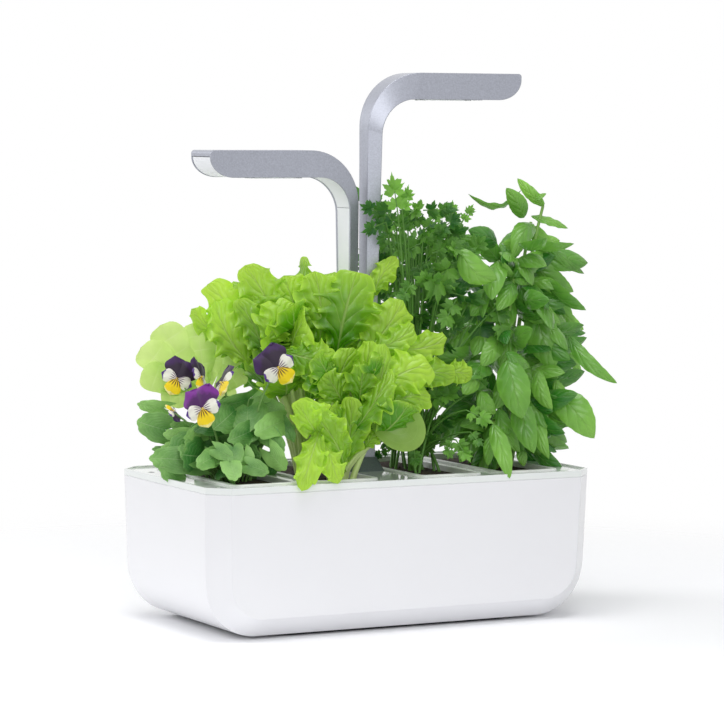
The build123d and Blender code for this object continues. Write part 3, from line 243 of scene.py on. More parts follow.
def flake_paint(name, colour, roughness, metallic, soft_edge):
    """Silver paint: a fine flake noise moves the tone and the gloss, over softened edges."""
    more = {"Metallic": metallic, "Coat Weight": PAINT_COAT}
    made, tree, surface = blank(name, colour, roughness, more, soft_edge)
    flake = noise(tree, Scale=FLAKE_GRAIN, Detail=2)
    bounds = {"From Min": 0.3, "From Max": 0.7, "To Min": 0.86, "To Max": 1.08}
    tone = shader(tree, "MapRange", {"Value": flake, **bounds})
    gloss = {"Value": flake, "To Min": roughness - 0.06, "To Max": roughness + 0.08}
    feed(surface, {"Base Color": blended(tree, 1.0, colour, tone, "MULTIPLY")})
    feed(surface, {"Roughness": shader(tree, "MapRange", gloss)})
    return made


foot_slate = flake_paint("foot_slate", srgb(84, 96, 98), 0.4, 0.2, 0.5)
glow_in = {"Subsurface Weight": 0.15, "Subsurface Radius": (0.003, 0.003, 0.003)}
skin_pale = moulded("skin_pale", srgb(247, 249, 253), 0.35, 0.3, glow_in)
lens_look = {"Coat Weight": 0.4, "Transmission Weight": 0.75}
ARM_FINISHES = {
    "arm_shell": flake_paint("arm_silver", srgb(163, 166, 177), 0.36, 0.6, 0.9),
    "column_cover": skin_pale,
    "lamp_cover": skin_pale,
    "lens": blank("lens_clear", srgb(236, 240, 240), 0.12, lens_look)[0],
    "led_board": board_mask,
    "led_chips": moulded("chip_yellow", srgb(236, 208, 96), 0.3),
    "cover_screws": screw_steel,
    "arm_glide": moulded("glide_black", srgb(36, 36, 38), 0.55),
}
finish(foot_slate, "mast_foot")
for name, material in ARM_FINISHES.items():
    finish(material, f"left_{name}", f"right_{name}")


# Pots: thin white troughs with a felt wick below and dark, crumbly potting soil. The soil's top is
# a loose skin of crumbs over the CAD's block, heaped a little away from the rim.
class Surfaces:
    """Surfaces gathered for one piece: points, faces, a UV map, tones that carry painted shade, and
    a material for each.
    """

    def __init__(self):
        self.parts, self.count = [], 0

    def add(self, points, faces, uv, tone_and_shade=0.5, slot=0, shade=0.0):
        """Takes one surface with its UV and tone, partly painted shade, and how far the tone falls
        from tip
        to foot: painted shade that darkens the foot.
        """
        tones_and_shade = tone_and_shade - shade * (1 - uv[:, 1]) ** 1.5
        self.parts.append((points, faces + self.count, uv, tones_and_shade, np.full(len(faces), slot)))
        self.count += len(points)

    def piece(self, name, materials, body, replaced=()):
        """Makes the mesh object, rides it on its body, and hides the CAD nodes that it stands for.
        """
        points, faces, uvs, tones_and_shade, slots = (np.concatenate(part) for part in zip(*self.parts))
        mesh = bpy.data.meshes.new(name)
        mesh.from_pydata(points.tolist(), [], faces.tolist())
        corner = np.empty(len(mesh.loops), int)
        mesh.loops.foreach_get("vertex_index", corner)
        mesh.uv_layers.new(name="UVMap").data.foreach_set("uv", uvs[corner].ravel())
        mesh.attributes.new("tone_and_shade", "FLOAT", "POINT").data.foreach_set("value", tones_and_shade)
        for material in materials:
            mesh.materials.append(material)
        mesh.polygons.foreach_set("material_index", slots)
        mesh.polygons.foreach_set("use_smooth", np.ones(len(faces), bool))
        made = bpy.data.objects.new(name, mesh)
        bpy.context.scene.collection.objects.link(made)
        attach(made, body)
        if replaced:
            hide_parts(*replaced)


def crossed(first, second):
    """A grid of every pair of two rows of values, as two arrays."""
    return np.meshgrid(first, second, indexing="ij")


def sheet(points, uv, closed=False):
    """A grid of points with its UV map, joined row by row by quads, and across the last column to
    the first where it is closed: its points, faces and UVs in rows."""
    rows, columns = points.shape[:2]
    row, column = crossed(np.arange(rows - 1), np.arange(columns if closed else columns - 1))
    ahead = (column + 1) % columns
    first = row * columns
    after = first + columns
    quads = np.stack([first + column, first + ahead, after + ahead, after + column], axis=-1)
    return points.reshape(-1, 3), quads.reshape(-1, 4), uv.reshape(-1, 2)


def wavy(x, y, seed):
    """A smooth, patternless field, about -1 to 1: the sum of eight sine waves in different
    directions."""
    dice = np.random.default_rng(seed)
    total = 0.0
    for strength in np.linspace(1.0, 0.35, 8):
        heading = dice.uniform(0, 2 * pi)
        pitch = dice.uniform(0.5, 2.6)
        total = total + strength * np.sin(
            pitch * (x * cos(heading) + y * sin(heading)) * 2 * pi + dice.uniform(0, 2 * pi)
        )
    return total / 3.2


def ramp(tree, source, *stops):
    """A colour ramp through two or more stops, each a place and a colour."""
    made = shader(tree, "ValToRGB", {"Fac": source})
    for stop, (place, colour) in zip(made.color_ramp.elements, stops[:2]):
        stop.position, stop.color = place, colour
    for place, colour in stops[2:]:
        made.color_ramp.elements.new(place).color = colour
    return made


def soil_material():
    """Potting soil: near black crumbs with brown fibres and a few pale grains."""
    made, tree, surface = blank("soil", srgb(40, 29, 22), 0.92)
    crumbs = noise(tree, Scale=260, Detail=8, Roughness=0.75)
    dark, brown, pale = srgb(20, 15, 12), srgb(66, 48, 36), srgb(128, 108, 86)
    colours = ramp(tree, crumbs, (0.35, dark), (0.62, brown), (0.74, pale))
    bump = shader(tree, "Bump", {"Distance": 1.2 * MM, "Height": crumbs})
    feed(surface, {"Base Color": colours, "Normal": bump})
    return made


PLANTS = ("viola", "lettuce", "parsley", "basil")
CRUMB_CELLS = (120, 44)
CRUMB_HEAP = 2.2 * MM
CRUMB_SINK = 0.25 * MM
CRUMB_SHARE = 0.985
pot_white = moulded("pot_white", srgb(230, 232, 230), 0.35, 0.4)
wick_felt = moulded("wick_felt", srgb(222, 218, 206), 0.95)
soil_dark = soil_material()
soil_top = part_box("viola_soil")[1].z
for seed, plant in enumerate(PLANTS):
    finish(pot_white, f"{plant}_pot")
    finish(wick_felt, f"{plant}_wick")
    finish(soil_dark, f"{plant}_soil")
    low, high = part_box(f"{plant}_soil")
    y, x = crossed(np.linspace(-1, 1, CRUMB_CELLS[0]), np.linspace(-1, 1, CRUMB_CELLS[1]))
    # A flat heap that falls to nothing at the rim, lumpy by the product of two smooth fields
    heap = (1 - x**6) * (1 - y**6)
    lumps = 0.5 + 0.5 * wavy(x * 2.2, y * 6.2, seed + 11) * wavy(x * 6, y * 17, seed + 31)
    points = np.stack(
        [
            (low.x + high.x) / 2 + x * (high.x - low.x) / 2 * CRUMB_SHARE,
            (low.y + high.y) / 2 + y * (high.y - low.y) / 2 * CRUMB_SHARE,
            soil_top - CRUMB_SINK + CRUMB_HEAP * heap * lumps,
        ],
        axis=-1,
    )
    crumbs = Surfaces()
    crumbs.add(*sheet(points, np.stack([x, y], axis=-1)))
    crumbs.piece(f"{plant}_crumbs", [soil_dark], f"{plant}_pot")


# Viola: a low mound of blue-green, scalloped leaves on thin stalks, with five-petalled flowers that
# nod above it: two purple petals on top, two cream ones at the sides, and a yellow lip with dark
# lines.
PIXEL = DISTANCE / FOCAL
ROOT_DEPTH = 1.5


def mm(*place):
    """A place or a step in millimetres, as metres."""
    return np.array(place, float) * MM


def unit(vector):
    """The vector, or each row of an array, at length one."""
    return vector / np.linalg.norm(vector, axis=-1, keepdims=True)


def leaf_frame(base, tip, turn):
    """A leaf's own axes: along it, across it, and out of its upper face. With no turn the face
    looks at the photograph's viewpoint, and turn rolls it about its length."""
    along = unit(tip - base)
    across = unit(np.cross(along, eye - (base + tip) / 2))
    face = np.cross(across, along)
    return along, across * cos(turn) + face * sin(turn), face * cos(turn) - across * sin(turn)


def outwards(angle, rise):
    """A direction of length one, level at an angle and then lifted by a rise."""
    return unit(np.array([cos(angle), sin(angle), rise]))


def laid_out(foot, axes, *reaches):
    """Points that lie at the given reaches along three axes from a foot."""
    return foot + sum(reach[..., None] * axis for reach, axis in zip(reaches, axes))


def fan_leaf(
    base, tip, width, rim, turn=0.0, bow=0.0, cup=0.0, ruffle=0.0, waves=5, wedge=2.3, phase=0.0,
    cells=(9, 33),
):
    """A leaf whose ribs fan out from its stalk. rim(angle) is its reach as a share of its length, r
    runs 0 to 1 from the stalk to the rim, and the face is bowed along its length, cupped across it
    and ruffled near the rim by a sine of the angle."""
    length = np.linalg.norm(tip - base)
    r, angle = crossed(np.linspace(0.02, 1, cells[0]), np.linspace(-wedge, wedge, cells[1]))
    ahead = r * rim(angle) * np.cos(angle)
    way_round = np.linspace(-wedge, wedge, 90)
    widest = np.max(np.abs(rim(way_round) * np.sin(way_round)))
    aside = r * rim(angle) * np.sin(angle) / widest / 2 * width / length
    lift = bow * 4 * ahead * (1 - ahead) - cup * (aside * 2) ** 2
    lift = lift + ruffle * r**3 * np.sin(waves * angle * 2 + phase)
    reaches = length * ahead, length * aside, length * lift
    points = laid_out(base, leaf_frame(base, tip, turn), *reaches)
    return sheet(points, np.stack([angle / (2 * wedge) + 0.5, r], axis=-1))


def long_leaf(
    base, tip, width, outline, turn=0.0, bow=0.0, sweep=0.0, cup=0.0, curl=0.0, ruffle=0.0,
    waves=5.0, phase=0.0, cells=(22, 11),
):
    """A leaf with one midrib. t runs 0 to 1 from stalk to tip and s from -1 to 1 across. Its half
    width is outline(t, s), its length bows and sweeps in a parabola, its tip curls with t cubed,
    its section is a parabola, and its edge is ruffled by a sine that grows with a power of s."""
    length = np.linalg.norm(tip - base)
    t, s = crossed(np.linspace(0, 1, cells[0]), np.linspace(-1, 1, cells[1]))
    half = width / 2 * outline(t, s)
    arch = 4 * t * (1 - t) * length
    turns = 2 * pi * waves * t + phase
    ends = np.sin(pi * np.clip(t * 1.1, 0, 1)) ** 0.5
    frill = np.abs(s) ** 2.5 * np.sin(turns + np.sign(s) * 1.3) * ends
    lift = bow * arch + curl * length * t**3 - cup * half * s**2 + ruffle * length * frill
    ahead = length * t + 0.35 * ruffle * length * np.abs(s) ** 3 * np.cos(turns)
    points = laid_out(base, leaf_frame(base, tip, turn), ahead, half * s + sweep * arch, lift)
    return sheet(points, np.stack([s / 2 + 0.5, t], axis=-1))


OFF_AXIS = np.array([0.31, 0.95, 0.05])


def stalk(start, end, radius, end_radius, rise=0.4, cells=(11, 7)):
    """A round stalk: a circle carried along a quadratic Bezier, whose middle point lies a fifth of
    the way along and is lifted by rise, a share of the length. Its radii are in millimetres."""
    length = np.linalg.norm(end - start)
    middle = start + rise * length * UP + (end - start) * 0.2
    t = np.linspace(0, 1, cells[0])[:, None]
    path = (1 - t) ** 2 * start + 2 * t * (1 - t) * middle + t**2 * end
    heading = unit(2 * (1 - t) * (middle - start) + 2 * t * (end - middle))
    first = unit(np.cross(heading, OFF_AXIS))
    second = np.cross(heading, first)
    angle = np.linspace(0, 2 * pi, cells[1], endpoint=False)[None, :, None]
    size = ((radius + (end_radius - radius) * t) * MM)[:, None, :]
    ring = np.cos(angle) * first[:, None, :] + np.sin(angle) * second[:, None, :]
    points = path[:, None, :] + size * ring
    uv = np.stack(crossed(np.linspace(0, 1, cells[0]), angle.ravel() / (2 * pi))[::-1], axis=-1)
    return sheet(points, uv, closed=True)


def add_leaf(target, kind, base, tip, width, edge, tone_and_shade=0.5, shade=0.0, slot=0, **form):
    """Adds a leaf of a kind, fan_leaf or long_leaf, to a piece."""
    target.add(*kind(base, tip, width, edge, **form), tone_and_shade, slot, shade)


def add_stem(target, start, end, radius, end_radius, tone_and_shade=0.5, slot=1, **form):
    """Adds a stalk to a piece, in its second material unless another is named."""
    target.add(*stalk(start, end, radius, end_radius, **form), tone_and_shade, slot)


def leaf_pattern_group():
    """The markings of a leaf from its UV map: a pale midrib, side veins that slope towards the tip,
    swelling between the veins, and a mottle that moves the green. A low tone turns the green to the
    deep colour as painted shade, and a painted highlight lightens the rim and the tip."""
    tree, given, out = group_of(
        "leaf_pattern",
        ("INPUT", "Color", "Light", "Deep", "Vein"),
        ("INPUT", "Float", "Veins", "Slope", "Rib Width", "Vein Strength", "Mottle Scale", "Rim"),
        ("OUTPUT", "Color", "Colour"),
        ("OUTPUT", "Float", "Height"),
    )

    def value(operation, *sources, clamp=False):
        """A Math node of this group."""
        return maths(tree, operation, *sources, clamp=clamp)

    uv = shader(tree, "SeparateXYZ", {"Vector": shader(tree, "UVMap")}).outputs
    tone_and_shade = shader(tree, "Attribute", attribute_name="tone_and_shade").outputs["Fac"]
    off_rib = value("ABSOLUTE", value("MULTIPLY_ADD", uv["X"], 2.0, -1.0))
    rib_width = value("MULTIPLY", given["Rib Width"], value("SUBTRACT", 1.25, uv["Y"]))
    rib = value("SUBTRACT", 1.0, value("DIVIDE", off_rib, rib_width), clamp=True)
    run = value("SUBTRACT", uv["Y"], value("MULTIPLY", off_rib, given["Slope"]))
    phase = value("FRACT", value("ADD", value("MULTIPLY", run, given["Veins"]), 20.0))
    off_vein = value("MULTIPLY", value("ABSOLUTE", value("SUBTRACT", phase, 0.5)), 2.0)
    fade = value("SUBTRACT", 1.0, value("POWER", off_rib, 2.0), clamp=True)
    side_veins = value("MULTIPLY", value("MULTIPLY", value("POWER", off_vein, 14.0), fade), 0.6)
    veins = value("MAXIMUM", value("POWER", rib, 0.6), side_veins)
    mottle = noise(tree, Scale=given["Mottle Scale"], Detail=4)
    # Painted shade: a low tone deepens the green on hidden leaves and leaf feet; mottle is random
    depth = value("ADD", value("MULTIPLY", mottle, 0.7), value("SUBTRACT", 0.65, tone_and_shade), clamp=True)
    green = blended(tree, depth, given["Light"], given["Deep"])
    strength = value("MULTIPLY", veins, given["Vein Strength"], clamp=True)
    marked = blended(tree, strength, green, given["Vein"])
    # Painted highlight: the green turns to the light colour near the rim and the tip
    near_rim = value("MAXIMUM", value("POWER", off_rib, 6.0), value("POWER", uv["Y"], 14.0))
    rim = value("MULTIPLY", near_rim, given["Rim"], clamp=True)
    between = value("MULTIPLY", value("SUBTRACT", 1.0, value("POWER", off_vein, 2.0)), fade)
    swell = value("SUBTRACT", between, value("MULTIPLY", rib, 1.2))
    height = value("ADD", swell, value("MULTIPLY", mottle, 0.5))
    feed(out, {"Colour": blended(tree, rim, marked, given["Light"]), "Height": height})
    return tree


leaf_pattern = leaf_pattern_group()


def let_through(tree, surface, colour, share):
    """Sets a material's colour, and mixes in a share of light that shines through it."""
    feed(surface, {"Base Color": colour})
    through = shader(tree, "BsdfTranslucent", {"Color": colour})
    mixed = shader(tree, "MixShader", {"Fac": share, 1: surface, 2: through})
    feed(tree.nodes["Material Output"], {"Surface": mixed})


def leaf_material(
    name, light, deep, vein, veins=6.0, slope=0.0, rib_width=0.03, strength=0.3, mottle=90.0,
    gloss=0.5, glow=0.35, swell=0.3, under=0.25, rim=0.3,
):
    """A living leaf: its markings, painted shade and a painted rim highlight, a waxy sheen, a paler
    underside, and light shining through; rim is the strength of the painted highlight.
    """
    made, tree, surface = blank(name, light, gloss)
    marks = {
        "Light": light, "Deep": deep, "Vein": vein, "Veins": veins, "Slope": slope,
        "Rib Width": rib_width, "Vein Strength": strength, "Mottle Scale": mottle, "Rim": rim,
    }
    pattern = shader(tree, "Group", marks, node_tree=leaf_pattern).outputs
    underside = maths(tree, "MULTIPLY", shader(tree, "NewGeometry").outputs["Backfacing"], under)
    paler = tuple(0.5 * a + 0.5 * b for a, b in zip(light, vein))
    height = {"Strength": 0.6, "Distance": swell * MM, "Height": pattern["Height"]}
    feed(surface, {"Normal": shader(tree, "Bump", height)})
    let_through(tree, surface, blended(tree, underside, pattern["Colour"], paler), glow)
    return made


viola_leaf = leaf_material(
    "viola_leaf", srgb(158, 208, 116), srgb(58, 120, 48), srgb(186, 218, 156),
    veins=7.0, strength=0.4, glow=0.25, swell=0.35, rim=0.25,
)
viola_stalk = moulded("viola_stalk", srgb(116, 158, 84), 0.5)


def viola_rim(angle):
    """A rounded heart, drawn in towards the stalk by a squared cosine of the angle, with shallow
    scallops by the size of a faster cosine. Reach as a share of the leaf's length."""
    return (0.7 + 0.3 * np.cos(angle * 0.55) ** 2) * (0.95 + 0.06 * np.abs(np.cos(angle * 5.5)))


# Viola leaves, as pixels of the photograph with a depth: stalk end, tip, width in pixels, turn
VIOLA_LEAVES_SEEN = (
    (163, 408, 34, 137, 404, 44, 11, 0.3),
    (166, 430, 26, 137, 421, 38, 23, 0.2),
    (168, 436, 30, 141, 432, 44, 9, 0.5),
    (178, 448, 24, 152, 449, 34, 9, 0.6),
    (195, 455, -6, 161, 447, 12, 16, 0.2),
    (192, 461, -16, 149, 458, 0, 21, -0.2),
    (190, 436, -2, 163, 434, 10, 13, 0.4),
    (206, 431, -10, 184, 438, -16, 14, 0.2),
    (190, 429, 8, 170, 424, 14, 10, 0.3),
    (235, 410, -22, 214, 429, -34, 26, 0.1),
    (248, 407, -24, 247, 433, -40, 29, -0.1),
    (249, 399, -16, 212, 406, -20, 14, 0.5),
    (252, 397, -10, 273, 398, -16, 12, 0.5),
    (284, 421, -36, 254, 435, -50, 20, -0.2),
    (281, 420, -34, 294, 442, -48, 11, 0.4),
    (251, 431, -40, 228, 441, -46, 17, 0.1),
    (216, 449, -46, 233, 459, -56, 12, 0.2),
    (216, 455, -40, 196, 467, -50, 15, 0),
    (233, 447, -50, 236, 466, -60, 15, 0.1),
    (244, 454, -54, 253, 469, -62, 13, -0.3),
    (230, 462, -58, 236, 481, -72, 15, 0.1),
    (248, 465, -62, 269, 473, -70, 13, 0.2),
    (262, 405, -14, 286, 413, -22, 15, 0.1),
    (262, 428, -40, 284, 452, -52, 16, 0.2),
    (270, 452, -52, 286, 470, -60, 16, -0.3),
)
VIOLA_BREADTH = 1.35
VIOLA_HIDDEN = 46
viola = Surfaces()
viola_root = mm(-113, -10, 112)
draw = np.random.default_rng(5).uniform


def seen_rows(rows):
    """Rows of a table with the first six values, a foot and a tip in the photograph, turned into
    points."""
    for u0, v0, y0, u1, v1, y1, *rest in rows:
        yield seen_at(u0, v0, y0), seen_at(u1, v1, y1), *rest


def rooted(point, root, spread):
    """Where a stalk leaves the soil: at the root, moved by a share of the way to its leaf."""
    reach = (point - root) * spread
    return np.array([root[0] + reach[0], root[1] + reach[1], soil_top - ROOT_DEPTH * MM])


for base, tip, width, turn in seen_rows(VIOLA_LEAVES_SEEN):
    add_leaf(
        viola, fan_leaf, base, tip, width * VIOLA_BREADTH * PIXEL, viola_rim, turn=turn, bow=0.08,
        cup=0.1, ruffle=0.03, waves=3, phase=draw(0, 6), tone_and_shade=draw(0.3, 1.0), shade=0.35,
    )
    add_stem(viola, rooted(base, viola_root, 0.35), base, 0.9, 0.6)
# Hidden leaves inside the mound get low tones: painted shade.
for _ in range(VIOLA_HIDDEN):
    angle, share = draw(0, 2 * pi), draw(0.2, 1.0)
    height = 121 + 42 * (1 - share**2) * draw(0.3, 1.0)
    base = mm(-121 + 34 * share * cos(angle), -8 + 32 * share * sin(angle), height)
    way = outwards(angle, draw(-0.5, 0.35))
    size = draw(15, 23) * MM
    add_leaf(
        viola, fan_leaf, base, base + way * size, size * 1.25, viola_rim, turn=draw(-0.9, 0.9),
        bow=0.1, cup=0.15, ruffle=0.03, tone_and_shade=draw(-0.1, 0.55), shade=0.3,
    )
    add_stem(viola, rooted(base, viola_root, 0.3), base, 0.8, 0.5)
viola.piece("viola_mound", [viola_leaf, viola_stalk], "viola_pot", ["viola_leaves"])


def petal_material(name, inner, outer, edge_at, streak=None):
    """A petal: one colour near the throat and another towards the rim, with fine ribs, and dark
    streaks by the throat on the lip and the side petals."""
    made, tree, surface = blank(name, inner, 0.6, {"Sheen Weight": 0.3})
    uv = shader(tree, "SeparateXYZ", {"Vector": shader(tree, "UVMap")}).outputs
    edge = maths(tree, "MULTIPLY_ADD", noise(tree, Scale=260), 0.3, uv["Y"])
    colour = ramp(tree, edge, (edge_at, inner), (min(edge_at + 0.16, 1.0), outer))
    if streak:
        stripes = maths(tree, "SINE", maths(tree, "MULTIPLY", uv["X"], 30.0))
        wide = maths(tree, "MULTIPLY_ADD", stripes, 1.2, 0.6)
        near = shader(tree, "MapRange", {"Value": uv["Y"], "From Min": 0.5, "From Max": 0.16})
        colour = blended(tree, maths(tree, "MULTIPLY", wide, near, clamp=True), colour, streak)
    let_through(tree, surface, colour, 0.25)
    return made


BLOOM_MATERIALS = [
    petal_material("top_petal", srgb(74, 12, 92), srgb(122, 30, 146), 0.7),
    petal_material("dark_petal", srgb(34, 10, 44), srgb(58, 22, 84), 0.75),
    petal_material("side_petal", srgb(246, 244, 232), srgb(92, 52, 150), 0.96, srgb(84, 44, 96)),
    petal_material("lip_petal", srgb(255, 222, 8), srgb(250, 240, 160), 0.96, srgb(84, 22, 16)),
    viola_stalk,
]
PETALS = (
    # Heading from straight up, length and width as shares of the flower, forward step, material
    (0.5, 0.66, 0.86, -0.04, 0),
    (-0.5, 0.66, 0.86, -0.06, 0),
    (1.6, 0.46, 0.54, 0.0, 2),
    (-1.6, 0.46, 0.54, 0.0, 2),
    (3.14, 0.48, 0.66, 0.03, 3),
)
FLOWERS_SEEN = (
    # Pixel and depth of the throat, spin, size in pixels, yaw, pitch, 1 for dark top petals
    (177, 379, 15, 0.45, 36, 0.1, 0.1, 1),
    (202.5, 409, -35, -0.35, 40, -0.35, 0.15, 0),
    (279, 368, -50, -0.75, 40, 0.15, 0.1, 1),
    (201, 377, 0, 0.5, 32, 1.15, 0.2, 1),
    (222, 383, -20, -1.0, 36, -1.15, 0.5, 1),
    (173, 411, 2, 2.6, 20, 1.0, 1.0, 1),
)


def round_petal(t):
    """Half width of a broad petal: it rises with a power of t and closes round the tip."""
    return t**0.6 * (1 - t**4) ** 0.5


PETAL_CELLS = (14, 11)
THROAT, STEM = 3, 4
viola_bloom = Surfaces()
for u, v, y, spin, size, yaw, pitch, dark in FLOWERS_SEEN:
    throat = seen_at(u, v, y)
    sight = unit(eye - throat)
    right = unit(np.cross(UP, sight))
    above = np.cross(sight, right)
    facing = unit(sight * cos(yaw) + right * sin(yaw) + above * sin(pitch))
    right = unit(np.cross(above, facing))
    above = np.cross(facing, right)
    reach = size * PIXEL
    for heading, length, width, step, slot in PETALS:
        along = above * cos(heading + spin) + right * sin(heading + spin)
        # Each petal bends back with t squared, dips across with s squared, and waves by a sine
        rows = np.sin(np.linspace(0, pi / 2, PETAL_CELLS[0]))
        t, s = crossed(rows, np.linspace(-1, 1, PETAL_CELLS[1]))
        half = reach * width / 2 * round_petal(t)
        wave = np.sin(s * 5 + t * 4 + heading * 3) * 0.03 * reach * t**2
        lift = reach * (step + 0.1 * t - 0.16 * t**2) - 0.2 * half * s**2 + wave
        ahead = reach * length * t * (1 - 0.12 * s**2)
        points = laid_out(throat, (along, np.cross(along, facing), facing), ahead, half * s, lift)
        viola_bloom.add(*sheet(points, np.stack([s / 2 + 0.5, t], axis=-1)), slot=slot or dark)
    inside, outside = throat - facing * 0.02 * reach, throat + facing * 0.07 * reach
    funnel = 0.05 * reach / MM, 0.02 * reach / MM
    add_stem(viola_bloom, inside, outside, *funnel, slot=THROAT, rise=0.0)
    behind = throat - facing * 0.1 * reach
    add_stem(viola_bloom, rooted(throat, viola_root, 0.3), behind, 1.0, 0.8, slot=STEM, rise=0.5)
viola_bloom.piece("viola_blooms", BLOOM_MATERIALS, "viola_pot", ["viola_flowers"])

# Pale leaf: one broad, lobed blade of lettuce green that stands behind the viola, its ribs fanning
# out from a flat stalk.
pale_leaf = leaf_material(
    "pale_leaf", srgb(218, 242, 150), srgb(172, 212, 98), srgb(236, 248, 190),
    veins=5.0, rib_width=0.02, strength=0.5, glow=0.45, swell=0.5,
)


def lobe_outline(t, s):
    """A round lobe on a narrow neck: half width rises with a power of t, closes round the tip, and
    ripples by a sine."""
    return t**0.75 * np.sqrt(1 - t**7) * (1 + 0.06 * np.sin(2 * pi * 2.6 * t + np.sign(s)))


PALE_LOBES_SEEN = (
    # Foot and tip of each lobe, as pixels with a depth, width and turn
    (206, 392, 46, 140, 346, 52, 44, 0.2),
    (204, 392, 47, 160, 324, 53, 46, 0.1),
    (206, 392, 46, 196, 322, 52, 48, -0.1),
    (208, 392, 45, 216, 340, 50, 28, -0.3),
    (206, 394, 45, 141, 372, 50, 40, 0.1),
    (206, 398, 44, 160, 396, 48, 34, -0.2),
    (214, 392, 44, 238, 350, 48, 26, 0.3),
    (214, 396, 44, 246, 372, 46, 24, 0.1),
    (212, 398, 44, 236, 392, 46, 22, -0.2),
)
pale = Surfaces()
pale_root = mm(-113, 52, 112)
draw = np.random.default_rng(8).uniform
for base, tip, width, turn in seen_rows(PALE_LOBES_SEEN):
    add_leaf(
        pale, long_leaf, base, tip, width * PIXEL, lobe_outline, turn=turn, bow=0.08, cup=0.2,
        curl=0.05, ruffle=0.04, waves=3, phase=draw(0, 6), cells=(34, 19), tone_and_shade=draw(0.5, 0.9),
        shade=0.3,
    )
pale_base = seen_at(208, 396, 46)
add_stem(pale, rooted(pale_base, pale_root, 0.1), pale_base, 3.0, 1.8, slot=0)
pale.piece("viola_pale_leaf", [pale_leaf], "viola_pot", ["viola_back_leaf"])


# Lettuce: lime green leaves with pale, flat midribs, lobed and ruffled along their rims. The head
# stands at the rear of its pot, and looser leaves spread from its front across the mast foot.
# A strong painted highlight lightens the rims of these leaves.
lettuce_leaf = leaf_material(
    "lettuce_leaf", srgb(194, 238, 74), srgb(82, 152, 10), srgb(222, 242, 156),
    veins=5.0, slope=0.5, rib_width=0.08, strength=0.45, mottle=50.0, gloss=0.3, glow=0.36,
    swell=1.3, rim=0.8,
)
lettuce_rib = moulded("lettuce_rib", srgb(206, 226, 150), 0.4)


def lettuce_outline(t, s):
    """A narrow foot that opens by a power of t into a broad blade and closes round the tip, with
    three round lobes a side by a slow sine and small ones on them by a fast sine."""
    opening = np.clip((t - 0.02) / 0.42, 0, 1) ** 1.3
    closing = np.sqrt(np.clip(1 - (np.clip(t - 0.5, 0, 1) / 0.5) ** 2.6, 0, 1))
    lobes = 1 + 0.15 * np.sin(2 * pi * 3.4 * t + np.sign(s) * 0.9)
    lobes = lobes + 0.04 * np.sin(2 * pi * 8 * t + 2 * s)
    return (0.1 + 0.9 * opening) * closing * lobes


# Lettuce head, as pixels with a depth: foot, tip, width, turn, bow, sweep
LETTUCE_HEAD_SEEN = (
    (238, 345, 30, 192, 307, 40, 26, 0.5, 0.12, -0.05),
    (262, 350, 20, 208, 283, 34, 40, 0.2, 0.1, 0.05),
    (258, 372, 10, 216, 300, 30, 40, 0.3, 0.14, -0.05),
    (282, 340, 6, 246, 267, 16, 46, 0, 0.15, 0.05),
    (304, 330, -6, 284, 275, 0, 44, 0.1, 0.12, 0),
    (306, 320, 28, 306, 258, 34, 26, 0.9, 0.15, 0.1),
    (318, 350, -16, 314, 270, -22, 46, -0.1, 0.12, 0.05),
    (336, 362, -24, 356, 272, -30, 62, -0.2, 0.14, -0.05),
    (332, 330, 6, 336, 272, 10, 40, 0.4, 0.1, 0),
    (268, 368, -6, 240, 300, 6, 34, 0.4, 0.12, 0.1),
    (264, 352, -16, 292, 303, -20, 42, -0.2, 0.12, -0.1),
    (282, 350, -34, 334, 360, -50, 40, 0.2, 0.2, 0.1),
    (300, 380, -26, 268, 352, -30, 34, 0, 0.15, 0),
    (310, 400, -30, 318, 366, -40, 44, 0.2, 0.1, 0),
)
LETTUCE_FRONT_SEEN = (
    (334, 402, -44, 352, 346, -56, 36, -0.5, 0.1, -0.1),
    (342, 470, -56, 352, 398, -66, 34, 0.1, 0.1, 0.05),
    (344, 472, -60, 300, 398, -72, 34, 0.1, 0.2, 0.1),
    (360, 402, -50, 374, 340, -60, 34, 0.3, 0.12, 0),
    (352, 420, -58, 382, 345, -66, 34, -0.4, 0.14, 0.1),
    (346, 440, -60, 392, 372, -70, 32, 0.5, 0.2, 0.15),
    (372, 400, -60, 430, 366, -70, 46, 0.1, 0.12, -0.1),
    (378, 416, -62, 430, 396, -72, 36, 0.2, 0.16, -0.1),
    (368, 424, -62, 404, 424, -72, 28, 0.2, 0.14, 0.1),
    (380, 344, -40, 446, 338, -52, 30, 0, 0.1, 0.12),
    (392, 372, -46, 454, 374, -54, 30, 0.1, 0.1, 0),
    (440, 370, -50, 471, 374, -52, 24, 0, 0.08, 0),
    (356, 352, -36, 414, 326, -48, 30, 0.3, 0.12, 0.15),
    (352, 362, -30, 402, 300, -40, 44, -0.2, 0.1, 0.05),
    (372, 300, -20, 396, 258, -26, 24, 0.3, 0.1, -0.05),
    (362, 450, -60, 380, 430, -66, 16, 0.2, 0.1, 0),
)


def lettuce_leaves(target, seen, root, draw, spread):
    """Adds the leaves of a table to a piece, each with a flat rib down to the root."""
    for base, tip, width, turn, bow, sweep in seen_rows(seen):
        add_leaf(
            target, long_leaf, base, tip, width * PIXEL, lettuce_outline, turn=turn, bow=bow,
            sweep=sweep, cup=0.25, curl=0.06, ruffle=0.09, waves=draw(4.5, 6.5), phase=draw(0, 6),
            cells=(48, 23), tone_and_shade=draw(0.35, 1.05), shade=0.6,
        )
        add_stem(target, rooted(base, root, spread), base, 2.6, 1.2, rise=0.3)


